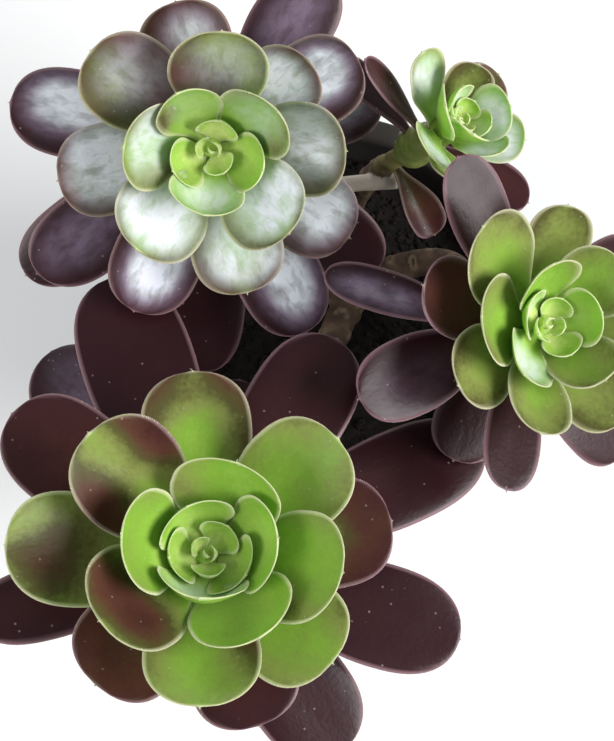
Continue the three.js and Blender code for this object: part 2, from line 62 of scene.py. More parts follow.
# Each rosette stands with its growing tip at `tip` and leans `lean` degrees towards the azimuth
# `towards`. Leaf 0 is the youngest. The curves are [leaf, value] points: length and half width,
# rise at the root and at the tip above the rosette's plane, cup as the margins' lift over the
# half width, depth of the root under the tip, and tone from 0, young green, to 1, old purple.
# Single leaves are turned and lifted by degrees, stretched and widened by factors, flushed with
# an older tone at (place along, place across, amount), painted shade on leaves 10, 13 and 18 of
# the front rosette, and given a painted highlight from 0 to 1: silver patches of the lights'
# glare painted into their colour. The fallen ones have left their places empty.
ROSETTES = {
    "front": {
        "tip": (-41, -113, 215), "lean": 5, "towards": -8, "first": 222.5, "hand": 1,
        "count": 37, "first_purple": 21,
        "length": [[0, 5], [4, 14], [7, 24], [9, 34], [12, 44], [15, 60], [18, 68],
                   [22, 71], [26, 82], [30, 98], [36, 108]],
        "width": [[0, 1.8], [2, 4], [4, 7.5], [6, 11.5], [7, 13.5], [8, 15], [10, 17], [12, 18.5],
                  [16, 19], [24, 18.5], [30, 17.5], [36, 20]],
        "root_rise": [[0, 66], [2, 42], [4, 29], [6, 32], [8, 40], [10, 50], [14, 42], [18, 30],
                      [24, 12], [30, -2], [36, -14]],
        "tip_rise": [[0, 95], [2, 62], [4, 48], [6, 54], [8, 66], [10, 64], [14, 38], [18, 18],
                     [24, 0], [30, -12], [36, -24]],
        "cup": [[0, 0.9], [8, 0.6], [14, 0.3], [24, 0.1], [36, 0]],
        "depth": [[0, 2], [8, 6], [16, 12], [24, 20], [36, 34]],
        "turned": {7: 12, 8: 18, 9: -13, 10: 17, 11: 4, 13: 6, 14: 1, 15: 13, 16: 5, 17: 1,
                   18: 2, 19: 4, 20: 3, 22: 4, 23: -1, 24: 6, 26: -3, 27: 9, 28: -4, 30: -2,
                   32: 6, 36: -9},
        "stretched": {10: 1.12, 11: 1.04, 12: 0.91, 13: 1.06, 14: 0.96, 16: 0.87, 17: 0.89,
                      18: 0.97, 19: 0.77, 20: 0.86, 21: 0.74, 22: 0.84, 23: 1.05, 24: 0.69,
                      25: 1.08, 26: 0.9, 28: 1.2, 30: 1.09, 32: 0.74, 33: 0.66},
        "widened": {26: 0.7, 28: 1.14},
        "lifted": {9: -6, 10: -8, 11: -12, 13: -3, 28: -5, 36: -3},
        "fallen": [29, 31, 34, 35],
        "tone": [[0, 0.06], [8, 0.2], [14, 0.3], [19, 0.34], [21, 0.62], [24, 0.85], [27, 0.97],
                 [36, 1]],
        # Painted shade: the flushes on leaves 10, 13 and 18 darken them; the rest are their own
        # brown.
        "flushed_and_shaded": {10: [(0.7, 0.0, 0.12)], 12: [(0.6, 0.6, 0.15)],
                    13: [(0.8, -0.5, 0.3), (0.7, 0.4, 0.35), (0.5, 0.0, 0.12)],
                    14: [(0.5, -0.7, 0.22)], 15: [(0.72, -0.85, 0.38), (0.62, 0.75, 0.4)],
                    16: [(0.5, 0.8, 0.25), (0.4, -0.8, 0.2)],
                    18: [(0.8, 0.3, 0.25), (0.6, -0.2, 0.18)],
                    20: [(0.6, 0.0, -0.2)], 22: [(0.5, 0.0, -0.3)], 30: [(0.25, 0.0, -0.5)]},
        # Painted highlight: silver patches of the lights' glare on these leaves.
        "bloom": {8: 0.35, 36: 0.2},
    },
    "back": {
        "tip": (-41, 28, 222), "lean": 33, "towards": -84, "first": 245, "hand": 1,
        "count": 40, "first_purple": 23,
        "length": [[0, 5], [4, 15], [7, 30], [9, 40], [12, 48], [15, 54], [18, 56],
                   [22, 64], [26, 76], [30, 84], [36, 90]],
        "width": [[0, 1.8], [2, 4], [4, 7.5], [6, 10.5], [7, 12], [9, 14.5], [12, 17], [16, 16.5],
                  [24, 16], [30, 15], [36, 15]],
        "root_rise": [[0, 66], [2, 44], [4, 32], [6, 34], [8, 44], [10, 40], [14, 32], [18, 24],
                      [24, 10], [30, -4], [36, -14]],
        "tip_rise": [[0, 95], [2, 64], [4, 50], [6, 54], [8, 68], [10, 50], [14, 30], [18, 16],
                     [24, 0], [30, -12], [36, -24]],
        "cup": [[0, 0.9], [8, 0.5], [14, 0.25], [24, 0.05], [36, 0]],
        "depth": [[0, 2], [8, 6], [16, 12], [24, 20], [36, 34]],
        "turned": {5: -10, 6: -6, 7: -10, 8: -5, 9: -4, 10: -10, 11: -2, 12: -10, 13: -3, 14: -8,
                   15: -10, 16: -2, 17: -20, 18: -10, 19: -11, 20: -12, 21: -9, 24: -10, 26: -3,
                   29: -6, 30: 3, 32: -7, 34: -6, 35: -9, 39: 10},
        "stretched": {7: 1.1, 8: 0.95, 9: 1.07, 10: 0.95, 12: 1.08, 13: 0.92, 14: 0.94, 15: 1.04,
                      16: 0.93, 17: 0.8, 18: 0.94, 19: 0.95, 20: 0.8, 22: 0.86, 24: 1.05, 29: 1.07,
                      30: 0.78, 32: 0.93, 34: 0.7, 35: 0.7, 39: 0.95},
        "widened": {17: 0.88},
        "lifted": {7: -8, 39: 12},
        "fallen": [25, 27, 28, 31, 33, 36, 37, 38],
        "tone": [[0, 0.05], [7, 0.14], [10, 0.36], [16, 0.5], [20, 0.72], [23, 0.9], [26, 1],
                 [40, 1]],
        "flushed_and_shaded": {7: [(0.7, 0.8, 0.3)], 9: [(0.6, -0.9, 0.15)], 10: [(0.4, 0.9, 0.15)],
                    12: [(0.45, 0.0, 0.2), (0.6, 0.8, 0.2)], 14: [(0.5, -0.5, 0.15)],
                    15: [(0.35, 0.0, 0.25), (0.7, -0.8, 0.15)], 16: [(0.7, 0.0, -0.15)],
                    11: [(0.8, 0.0, -0.12)], 13: [(0.8, 0.0, -0.12)]},
        # Painted highlight: silver patches of the lights' glare on these leaves.
        "bloom": {7: 0.1, 8: 0.55, 9: 0.2, 10: 0.5, 11: 1.0, 12: 0.24, 13: 1.0, 14: 0.7, 15: 0.27,
                  16: 0.85, 17: 0.9, 18: 1.0, 19: 1.0, 20: 0.5, 21: 1.0, 22: 1.0, 23: 0.9,
                  24: 0.95, 26: 0.25, 30: 0.25, 35: 0.9},
    },
    "right": {
        "tip": (75, -33, 212), "lean": 24, "towards": -34, "first": 262.5, "hand": -1,
        "count": 33, "first_purple": 19,
        "length": [[0, 4], [4, 12], [7, 22], [9, 30], [12, 36], [15, 40], [18, 42],
                   [22, 50], [26, 58], [30, 66], [36, 74]],
        "width": [[0, 1.6], [2, 3.5], [4, 6], [6, 9], [7, 10.5], [9, 12.5], [12, 14], [36, 14]],
        "root_rise": [[0, 66], [2, 44], [4, 32], [6, 36], [8, 46], [10, 44], [14, 38], [18, 30],
                      [24, 12], [30, -4], [36, -14]],
        "tip_rise": [[0, 95], [2, 64], [4, 50], [6, 54], [8, 64], [10, 54], [14, 38], [18, 22],
                     [24, 4], [30, -12], [36, -24]],
        "cup": [[0, 0.9], [8, 0.5], [14, 0.25], [24, 0.05], [36, 0]],
        "depth": [[0, 2], [8, 6], [16, 12], [24, 22], [36, 40]],
        "turned": {7: -4, 8: -18, 9: 10, 10: -25, 11: -12, 12: -4, 13: -22, 16: -14, 19: -4, 22: 2,
                   24: -1, 29: 12, 32: -19},
        "stretched": {8: 1.2, 9: 1.08, 11: 1.22, 13: 1.15, 14: 1.3, 16: 1.1, 19: 1.12, 21: 1.17,
                      22: 1.24, 24: 1.2, 29: 0.72, 32: 0.92},
        "widened": {11: 1.15, 13: 0.9, 14: 1.15, 17: 0.9, 21: 0.8, 22: 0.85, 32: 0.58},
        "lifted": {8: -14, 11: -8, 13: -6, 14: -5, 16: -4},
        "fallen": [25, 26, 27, 30],
        "tone": [[0, 0.05], [7, 0.18], [10, 0.36], [16, 0.42], [18, 0.46], [19, 0.7], [21, 0.95],
                 [40, 1]],
        "flushed_and_shaded": {},
        # Painted highlight: silver patches of the lights' glare on these leaves.
        "bloom": {6: 0.45, 8: 0.45, 24: 0.06, 32: 0.4},
    },
    "small": {
        "tip": (47, 45, 208), "lean": 32, "towards": 2, "first": 95, "hand": 1,
        "count": 25, "first_purple": 18,
        "length": [[0, 3], [4, 8], [7, 14], [8, 17], [10, 22], [12, 23],
                   [15, 26], [18, 30], [22, 38], [26, 44]],
        "width": [[0, 1.3], [2, 2.6], [4, 4.2], [7, 6.5], [8, 7.5], [10, 10.5], [12, 10], [15, 11],
                  [22, 10], [30, 11]],
        "root_rise": [[0, 68], [3, 46], [5, 40], [8, 52], [10, 54], [14, 42], [18, 28], [22, 10],
                      [30, -10]],
        "tip_rise": [[0, 95], [3, 66], [5, 60], [8, 72], [10, 62], [14, 44], [18, 22], [22, 2],
                     [30, -22]],
        "cup": [[0, 0.9], [8, 0.5], [14, 0.25], [24, 0.05]],
        "depth": [[0, 2], [8, 5], [16, 12], [20, 20], [24, 26]],
        "turned": {8: 20, 10: -16, 11: 25, 14: 6, 15: -8, 19: -30, 20: 6, 24: -22},
        "stretched": {11: 1.05, 13: 0.97, 14: 1.25, 15: 1.02, 16: 1.02, 17: 0.75, 19: 1.2,
                      20: 1.15, 24: 0.95},
        "widened": {19: 0.55, 24: 0.75},
        "lifted": {14: -8, 24: -12},
        "fallen": [21, 22],
        "tone": [[0, 0.05], [8, 0.16], [12, 0.28], [13, 0.5], [14, 0.28], [16, 0.34], [18, 0.5],
                 [19, 0.85], [24, 1]],
        "flushed_and_shaded": {},
        # Painted highlight: silver patches of the lights' glare on these leaves.
        "bloom": {6: 0.3, 7: 0.3, 8: 0.5, 9: 0.4, 10: 0.9, 11: 0.5, 12: 0.7, 14: 0.5, 15: 0.8,
                  16: 0.5},
    },
}

# One old leaf still hangs on the thin branch, under the small rosette.
HANGING_LEAF = {
    "tip": (26, 43, 167), "first": -54, "hand": 1,
    "length": [[0, 30]], "width": [[0, 7.5]], "root_rise": [[0, -20]], "tip_rise": [[0, -48]],
    "cup": [[0, 0.5]], "depth": [[0, 0]], "tone": [[0, 0.7]],
    "turned": {}, "stretched": {}, "widened": {}, "lifted": {}, "flushed_and_shaded": {}, "bloom": {},
}

RADIUS_OF_ROOT = [[0, 0.5], [8, 3], [16, 5], [40, 6]]
WIDEST_AT = 0.66
ROOT_WIDTH = 0.26
TIP_ROUNDNESS = 2.7
TIP_FULLNESS = 0.45
ROOT_SINK = 3
CORE_TOP_RADIUS = 2.2
CORE_FOOT_RADIUS = 7.5
CORE_SWELL = 0.6
CORE_FOOT_MARGIN = 4
SEAT_GAP = 0.3

FORK = (8, 0, 131)
TRUNK_FOOT = (6, 2, 82)
TRUNK_RADIUS = 8.5
FORK_RADIUS = 6.5
STRAIGHT_NECK = 12
BRANCHES = {
    "front": ([(-8, -40, 138), (-32, -88, 146)], 4.6),
    "back": ([(-8, 26, 144), (-34, 50, 158)], 4.6),
    "right": ([(26, 12, 137), (47, 12, 146), (56, -2, 155)], 3.8),
    "small": ([(7, 32, 140), (17, 46, 150)], 3.4),
}
STUB = [(-16, 34, 149), (4, 40, 156), (27, 41, 159)]
STUB_RADIUS = 3.4

POT_HEIGHT = 132
POT_FOOT_RADIUS = 54
POT_RIM_RADIUS = 82
RIM_BAND_HEIGHT = 30
RIM_BAND_STEP = 4
POT_WALL = 7
POT_BASE = 9
DRAIN_RADIUS = 5.5
DRAIN_RING_RADIUS = 27
SOIL_TOP = 116
SOIL_DOME = 3

# ---- Small helpers ----------------------------------------------------------------------------

MIX_A, MIX_B, MIX_RESULT = 6, 7, 2  # a Mix node's colour sockets, which share names with others


def linear(hex_colour, alpha=True):
    """An sRGB hex colour as the linear numbers that Blender's sockets take."""
    parts = [int(hex_colour[i:i + 2], 16) / 255 for i in (0, 2, 4)]
    rgb = [p / 12.92 if p <= 0.04045 else ((p + 0.055) / 1.055) ** 2.4 for p in parts]
    return (*rgb, 1.0) if alpha else tuple(rgb)


def read_curve(points, at):
    leaves, values = zip(*points)
    return np.interp(at, leaves, values)


def set_stops(band, stops):
    """Colour stops, as (place, hex), on a ramp's band."""
    while len(band.elements) < len(stops):
        band.elements.new(1.0)
    for element, (place, colour) in zip(band.elements, stops):
        element.position = place
        element.color = linear(colour)


def add_node(tree, kind, inputs=None, stops=None, **settings):
    """One node, with its settings and colour stops, and with each input set or linked."""
    node = tree.nodes.new(kind)
    for name, value in settings.items():
        setattr(node, name, value)
    if stops:
        set_stops(node.color_ramp, stops)
    for socket, value in (inputs or {}).items():
        if isinstance(value, bpy.types.NodeSocket):
            tree.links.new(value, node.inputs[socket])
        else:
            node.inputs[socket].default_value = value
    return node


def new_material(name):
    """A new material that has no nodes yet, and its node tree."""
    material = bpy.data.materials.new(name)
    material.use_nodes = True
    material.node_tree.nodes.clear()
    return material, material.node_tree


def add_piece(name, mesh, material, replaced=()):
    """A finished piece with its material on, riding on the part's one body. A mesh that comes
    from geometry nodes has its material already."""
    piece = bpy.data.objects.new(name, mesh)
    bpy.context.scene.collection.objects.link(piece)
    if material is not None:
        mesh.materials.clear()
        mesh.materials.append(material)
    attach(piece, "root")
    if replaced:
        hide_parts(*replaced)
    return piece


def set_floats(mesh, floats):
    """Named float attributes on the mesh's points."""
    for key, values in floats.items():
        attribute = mesh.attributes.new(key, "FLOAT", "POINT")
        attribute.data.foreach_set("value", np.asarray(values, np.float32))


def shade_smooth(mesh):
    mesh.polygons.foreach_set("use_smooth", np.ones(len(mesh.polygons), bool))
    mesh.update()


def carrier_of(name, mesh):
    """A passing object that carries modifiers for a mesh."""
    carrier = bpy.data.objects.new(name + "_carrier", mesh)
    bpy.context.scene.collection.objects.link(carrier)
    return carrier


def evaluated_mesh(carrier, name):
    """The plain mesh that a carrier's modifiers make, after which the carrier goes."""
    depsgraph = bpy.context.evaluated_depsgraph_get()
    mesh = bpy.data.meshes.new_from_object(carrier.evaluated_get(depsgraph))
    mesh.name = name
    carrier.modifiers.clear()
    bpy.data.objects.remove(carrier)
    return mesh


def mesh_from(name, points, faces, floats=None, uv=None):
    """A smooth mesh from points in metres, with float attributes and a UV map for its points."""
    mesh = bpy.data.meshes.new(name)
    mesh.from_pydata(points.tolist(), [], faces)
    set_floats(mesh, floats or {})
    if uv is not None:
        layer = mesh.uv_layers.new(name="blade")
        corners = np.zeros(len(mesh.loops), np.int32)
        mesh.loops.foreach_get("vertex_index", corners)
        layer.data.foreach_set("uv", np.asarray(uv, np.float32)[corners].ravel())
    shade_smooth(mesh)
    return mesh


def tube_faces(rows, columns):
    """Quads round a closed tube of rows, with a pole point at each end after the rows."""
    faces = []
    for row in range(rows - 1):
        for column in range(columns):
            a = row * columns + column
            b = row * columns + (column + 1) % columns
            faces.append((a, b, b + columns, a + columns))
    first, last = rows * columns, rows * columns + 1
    end = (rows - 1) * columns
    for column in range(columns):
        a, b = column, (column + 1) % columns
        faces += [(first, b, a), (last, end + a, end + b)]
    return faces


def faces_outwards(points, faces):
    """The faces, turned over if they enclose a negative volume."""
    volume = 0.0
    for face in faces:
        a, b, c = (points[i] for i in face[:3])
        volume += np.dot(a, np.cross(b, c))
        if len(face) == 4:
            volume += np.dot(a, np.cross(c, points[face[3]]))
    return faces if volume > 0 else [tuple(reversed(face)) for face in faces]


# ---- Leaves -----------------------------------------------------------------------------------

LEAF_ROWS = 34
LEAF_COLUMNS = 30
ROW_CROWDING = 1.8  # above 1, the rows crowd towards the tip, where the outline turns fastest
ROOT_TAPER = 1.6  # how late the blade widens on its way from the root

MUCRO_LENGTH, MUCRO_HALF = 0.8, 0.8  # the little point at a leaf's tip
MUCRO_LENGTH_SHARE, MUCRO_HALF_SHARE = 0.06, 0.1  # of a small leaf's length and half width
MUCRO_TAPER = 2.2  # how many lengths of the point it takes to reach its full width
LARGEST_SINK = 0.3  # share of a small leaf's length that is sunk in the shoot
THICKNESS = 0.9  # of a very short leaf, and each LENGTH_PER_MM of length adds 1 mm
LENGTH_PER_MM = 55
TIP_THINNESS = 0.5  # thickness at the tip, as a share of that at the root
LEAF_EDGE = 0.9
THICKEST_SHARE, THINNEST_EDGE = 0.8, 0.05  # keep a narrow blade flat
ROUND_END = 0.2  # how far the last point stands out, in rows
SECTION_SQUARENESS = 0.62  # below 1, the blade's section is fuller than an ellipse
MARGIN_ROLL = 0.05
TIP_CURL = 0.45  # lift of the far rim, beside that of the margins
GROOVE_DEPTH, GROOVE_HALF = 0.22, 0.16  # along the middle of the upper face
GROWN_HALF, GROOVED_HALF = 14, 12  # half widths of leaves with their full waves and groove
HAIRS_FROM = 0.1  # where along the blade the margin's hairs begin
LEAST_BEND = 1e-4  # radians, so that a straight blade is an arc too

# Each leaf draws its own waves along each margin, its roll and its shift of tone.
WAVE_HEIGHT = (0.1, 0.45)
WAVE_COUNT = (1.2, 2.3)
LARGEST_ROLL = 0.07
LARGEST_SHIFT = 0.035

RIM_BAND = 1.5  # reach of the pale margin, which fades over the inner RIM_FADE of it
RIM_FADE = 0.9
RIM_TURN = 0.12  # the pale margin also fades over the roundness of the edge
TONE_ALONG, TONE_ACROSS = 0.2, 0.13  # tips and margins look older than roots
TONE_MIDDLE, TONE_OFFSET = 0.55, -0.03
# Size of a flush: the leaves' own brown, and on a few leaves painted shade.
PATCH_ALONG, PATCH_ACROSS = 0.17, 0.42
# The painted highlight: silver patches of the lights' glare, painted into the leaves' colour.
FIRST_LOOSE_LEAF = 20  # from here outwards the painted highlight covers less of the blade
GLARE_HALF, LOOSE_GLARE_HALF = 0.8, 0.6
GLARE_ASIDE = 0.2  # how far the painted highlight lies off the middle
GLARE_START, GLARE_RISE, GLARE_END = 0.3, 0.25, 0.2  # it comes on along the blade and goes at the tip
GLARE_EDGE = -0.2  # it covers the upper face and goes just over the edge

CORE_ROWS, CORE_COLUMNS = 40, 30
CORE_START = 0.5
CORE_TONES = ([1, 12], [0.1, 0.44])  # depths, and how old the bark looks there
CORE_FLUTES, CORE_RINGS = (0.35, 3, 1.1), (0.3, 2, 2.4)  # height, waves round it, radians a mm
CORE_UV_RADIUS = 6


def width_along(s):
    rising = ROOT_WIDTH + (1 - ROOT_WIDTH) * np.sin(
        0.5 * np.pi * np.clip(s / WIDEST_AT, 0, 1)) ** ROOT_TAPER
    past = np.clip((s - WIDEST_AT) / (1 - WIDEST_AT), 0, 1)
    return np.where(s < WIDEST_AT, rising, (1 - past ** TIP_ROUNDNESS) ** TIP_FULLNESS)


def place_matrix(plan):
    """The rosette's east, north and axis as columns, and its tip."""
    if "lean" not in plan:
        return np.eye(3), np.array(plan["tip"], float)
    lean, towards = math.radians(plan["lean"]), math.radians(plan["towards"])
    axis = np.array([math.sin(lean) * math.cos(towards), math.sin(lean) * math.sin(towards),
                     math.cos(lean)])
    east = np.array([1.0, 0, 0]) - axis * axis[0]
    east /= np.linalg.norm(east)
    return np.column_stack([east, np.cross(axis, east), axis]), np.array(plan["tip"], float)


def tone_over(plan, leaf, s, t, shift):
    """A leaf's tone, where s runs from root to tip and t from margin to margin. A few of its
    flushes darken the leaf as painted shade.
    """
    tone = (read_curve(plan["tone"], leaf) + shift
            + TONE_ALONG * (np.clip(s, 0, 1) - TONE_MIDDLE)
            + TONE_ACROSS * np.abs(t) ** 2 + TONE_OFFSET)
    for along, across, amount in plan["flushed_and_shaded"].get(leaf, []):
        tone = tone + amount * np.exp(-((s - along) / PATCH_ALONG) ** 2 / 2
                                      - ((t - across) / PATCH_ACROSS) ** 2 / 2)
    return tone


def painted_glare_over(plan, leaf, s, t):
    """A painted highlight of glare on the middle of a leaf's blade, a little to one side."""
    glare_half = GLARE_HALF if leaf < FIRST_LOOSE_LEAF else LOOSE_GLARE_HALF
    aside = (t - GLARE_ASIDE * math.sin(2.4 * leaf)) / glare_half
    return (plan["bloom"].get(leaf, 0) * np.exp(-np.abs(aside) ** 3)
            * np.clip((s - GLARE_START) / GLARE_RISE, 0, 1) * np.clip((1 - s) / GLARE_END, 0, 1))


def make_leaf(plan, leaf, rng):
    """One leaf's points, faces, tone, rim, painted highlight, UV, and margin with outward arrows.
    """
    length = read_curve(plan["length"], leaf) * plan["stretched"].get(leaf, 1)
    half_width = read_curve(plan["width"], leaf) * plan["widened"].get(leaf, 1)
    lift = plan["lifted"].get(leaf, 0)
    rise = math.radians(read_curve(plan["root_rise"], leaf) + lift)
    bend = math.radians(read_curve(plan["tip_rise"], leaf) + lift) - rise or LEAST_BEND
    cup = read_curve(plan["cup"], leaf)
    azimuth = math.radians(plan["first"] + plan["hand"] * GOLDEN_ANGLE * leaf
                           + plan["turned"].get(leaf, 0))
    outward = np.array([math.cos(azimuth), math.sin(azimuth), 0])
    sideways = np.array([-math.sin(azimuth), math.cos(azimuth), 0])
    up = np.array([0, 0, 1.0])
    root = outward * read_curve(RADIUS_OF_ROOT, leaf) - up * read_curve(plan["depth"], leaf)
    thickness = THICKNESS + length / LENGTH_PER_MM

    # The outline, from a little inside the shoot to the point at the leaf's tip.
    point_length = min(MUCRO_LENGTH, MUCRO_LENGTH_SHARE * length) / length
    start = -min(ROOT_SINK / length, LARGEST_SINK)
    u = np.linspace(0, 1, LEAF_ROWS)
    s = start + (1 + point_length - start) * (1 - (1 - u) ** ROW_CROWDING)
    half = half_width * width_along(s)
    point_half = min(MUCRO_HALF, MUCRO_HALF_SHARE * half_width)
    near_tip = np.clip((1 + point_length - s) / (MUCRO_TAPER * point_length), 0, 1)
    half = np.maximum(half, point_half * near_tip)

    wave = rng.uniform(*WAVE_HEIGHT, 2) * min(1, half_width / GROWN_HALF)
    phase = rng.uniform(0, 2 * np.pi, 2)
    count = rng.uniform(*WAVE_COUNT, 2)
    roll = rng.uniform(-LARGEST_ROLL, LARGEST_ROLL)
    tone_shift = rng.uniform(-LARGEST_SHIFT, LARGEST_SHIFT)

    # The blade's middle bends along an arc.
    angle = rise + bend * s
    reach = (length / bend) * (np.sin(angle) - math.sin(rise))
    height = (length / bend) * (math.cos(rise) - np.cos(angle))
    normal = -np.sin(angle)[:, None] * outward + np.cos(angle)[:, None] * up
    middle = root + reach[:, None] * outward + height[:, None] * up

    # The skin lies round it, from margin to margin over the upper face and back under the lower.
    theta = 2 * np.pi * np.arange(LEAF_COLUMNS) / LEAF_COLUMNS
    t = np.cos(theta)[None, :]
    side = (t < 0).astype(int)
    bulge = np.sign(np.sin(theta)) * np.abs(np.sin(theta)) ** SECTION_SQUARENESS
    thin = np.interp(s, [0, 1], [1, TIP_THINNESS])[:, None]
    swell = np.maximum(LEAF_EDGE, thickness * thin) / 2
    swell = np.minimum(swell, THICKEST_SHARE * half[:, None] + THINNEST_EDGE)
    ripple = wave[side] * np.sin(2 * np.pi * count[side] * s[:, None] + phase[side])
    ripple = ripple * np.abs(t) ** 3 * np.clip(s[:, None] * 2, 0, 1)
    groove = -GROOVE_DEPTH * min(1, half_width / GROOVED_HALF) * np.exp(
        -(t / GROOVE_HALF) ** 2) * np.sin(np.pi * np.clip(s, 0, 1))[:, None] * (bulge > 0)
    across = half[:, None] * t
    beyond = np.clip((s - WIDEST_AT) / (1 - WIDEST_AT), 0, 1)[:, None]
    spoon = (across / half_width) ** 2 + TIP_CURL * beyond ** 2
    lifts = (cup * half_width * spoon + roll * across * np.clip(s, 0, 1)[:, None]
             - MARGIN_ROLL * half[:, None] * np.abs(t) ** 5)
    rise_up = lifts + swell * bulge + ripple + groove
    points = (middle[:, None, :] + across[..., None] * sideways
              + rise_up[..., None] * normal[:, None, :])

    # What the material reads: nearness to the rim, tone, painted highlight and place on the blade.
    distance = np.minimum((1 - np.abs(t)) * half[:, None] + np.abs(bulge) * RIM_TURN,
                          (1 + point_length - s)[:, None] * length + 0 * t)
    rim = np.clip((RIM_BAND - distance) / RIM_FADE, 0, 1)
    tone = tone_over(plan, leaf, s[:, None], t, tone_shift)
    bloom = painted_glare_over(plan, leaf, s[:, None], t) * (bulge > GLARE_EDGE)
    uv = np.stack([across * MM, s[:, None] * length * MM + 0 * t], -1)

    last = points[-1].mean(0) + (middle[-1] - middle[-2]) * ROUND_END
    ends = np.array([points[0].mean(0), last])
    everything = np.vstack([points.reshape(-1, 3), ends])
    tone = np.append(tone.ravel(), [tone[0].mean(), tone[-1].mean()])
    rim = np.append(rim.ravel(), [0, 1])
    bloom = np.append(bloom.ravel(), [0, 0])
    uv = np.vstack([uv.reshape(-1, 2), [[0, start * length * MM], [0, length * MM]]])

    # The line that the hairs stand on, up one margin and down the other.
    edge_rows = np.nonzero(s > HAIRS_FROM)[0]
    half_turn = LEAF_COLUMNS // 2
    margin = np.vstack([points[edge_rows, 0], ends[1:], points[edge_rows[::-1], half_turn]])
    blade = np.vstack([normal[edge_rows], normal[-1:], normal[edge_rows[::-1]]])
    run = np.gradient(margin, axis=0)
    arrows = np.cross(run, blade)
    arrows /= np.linalg.norm(arrows, axis=1)[:, None] + 1e-9
    faces = faces_outwards(everything, tube_faces(LEAF_ROWS, LEAF_COLUMNS))
    return everything, faces, tone, rim, bloom, uv, margin, arrows


def core_depth(plan):
    return read_curve(plan["depth"], plan["count"] - 1) + CORE_FOOT_MARGIN


def make_core(plan):
    """The shoot's tip that the leaves grow from, with the soft rings of lost leaves."""
    full = core_depth(plan)
    depth = np.linspace(CORE_START, full + SEAT_GAP + 1, CORE_ROWS)
    radius = CORE_TOP_RADIUS + (CORE_FOOT_RADIUS - CORE_TOP_RADIUS) * np.clip(
        depth / full, 0, 1) ** CORE_SWELL
    theta = 2 * np.pi * np.arange(CORE_COLUMNS) / CORE_COLUMNS
    wobble = sum(high * np.sin(round_it * theta[None, :] + depth[:, None] * down)
                 for high, round_it, down in (CORE_FLUTES, CORE_RINGS))
    r = radius[:, None] + wobble
    points = np.stack([r * np.cos(theta), r * np.sin(theta), -depth[:, None] + 0 * r], -1)
    ends = np.array([[0, 0, -depth[0]], [0, 0, -depth[-1]]])
    everything = np.vstack([points.reshape(-1, 3), ends])
    faces = faces_outwards(everything, tube_faces(CORE_ROWS, CORE_COLUMNS))
    size = len(everything)
    uv = np.zeros((size, 2))
    uv[:-2, 0] = np.tile(theta * (CORE_UV_RADIUS * MM), CORE_ROWS)
    uv[:-2, 1] = np.repeat(depth * MM, CORE_COLUMNS)
    aged = np.interp(-everything[:, 2], *CORE_TONES)
    return everything, faces, aged, np.zeros(size), np.zeros(size), uv


def leaves_mesh(name, plan, leaves, rng, with_core=False):
    """One mesh of several leaves, and their margins for the hairs."""
    turn, tip = place_matrix(plan)
    points, faces, tones, rims, painted_glares, uvs, margins = ([] for _ in range(7))
    total = 0
    grown = [make_leaf(plan, leaf, rng) for leaf in leaves]
    parts = [leaf[:6] for leaf in grown] + ([make_core(plan)] if with_core else [])
    for everything, leaf_faces, tone, rim, bloom, uv in parts:
        points.append(everything @ turn.T + tip)
        faces += [tuple(i + total for i in face) for face in leaf_faces]
        tones.append(tone)
        rims.append(rim)
        painted_glares.append(bloom)
        uvs.append(uv)
        total += len(everything)
    for leaf in grown:
        margins.append((leaf[6] @ turn.T + tip, leaf[7] @ turn.T))
    mesh = mesh_from(name, np.vstack(points) * MM, faces,
                     {"tone": np.concatenate(tones), "rim": np.concatenate(rims),
                      "bloom": np.concatenate(painted_glares)},
                     np.vstack(uvs))
    return mesh, margins


# ---- Materials --------------------------------------------------------------------------------

LEAF_TONES = [(0.0, "E2EE9C"), (0.14, "A8CC5E"), (0.32, "84AC3E"), (0.44, "808A48"),
              (0.54, "54502C"), (0.66, "56342A"), (0.8, "422120"), (1.0, "30161B")]
RIM_TONES = [(0.35, "D4DDAA"), (0.8, "8E6C74")]
# Colours of the painted highlight, the lights' glare: silver, and lilac on purple leaves.
GLARE_TONES = [(0.3, "F2F8FF"), (0.7, "BFA9C6")]
WATER_SPOT = "B9AFA6"
OLD_CORK = [(0.3, "3A2B22"), (0.55, "5E4A3A"), (0.75, "7A6450")]
YOUNG_CORK = [(0.3, "5C5620"), (0.55, "9C9C4C"), (0.8, "AEA062")]
SOIL_AND_SHADE_TONES = [(0.3, "0C0907"), (0.55, "17110D"), (0.75, "2A2019")]
CLAY_TONES = [(0.3, "26221F"), (0.5, "322D29"), (0.7, "3E3833")]


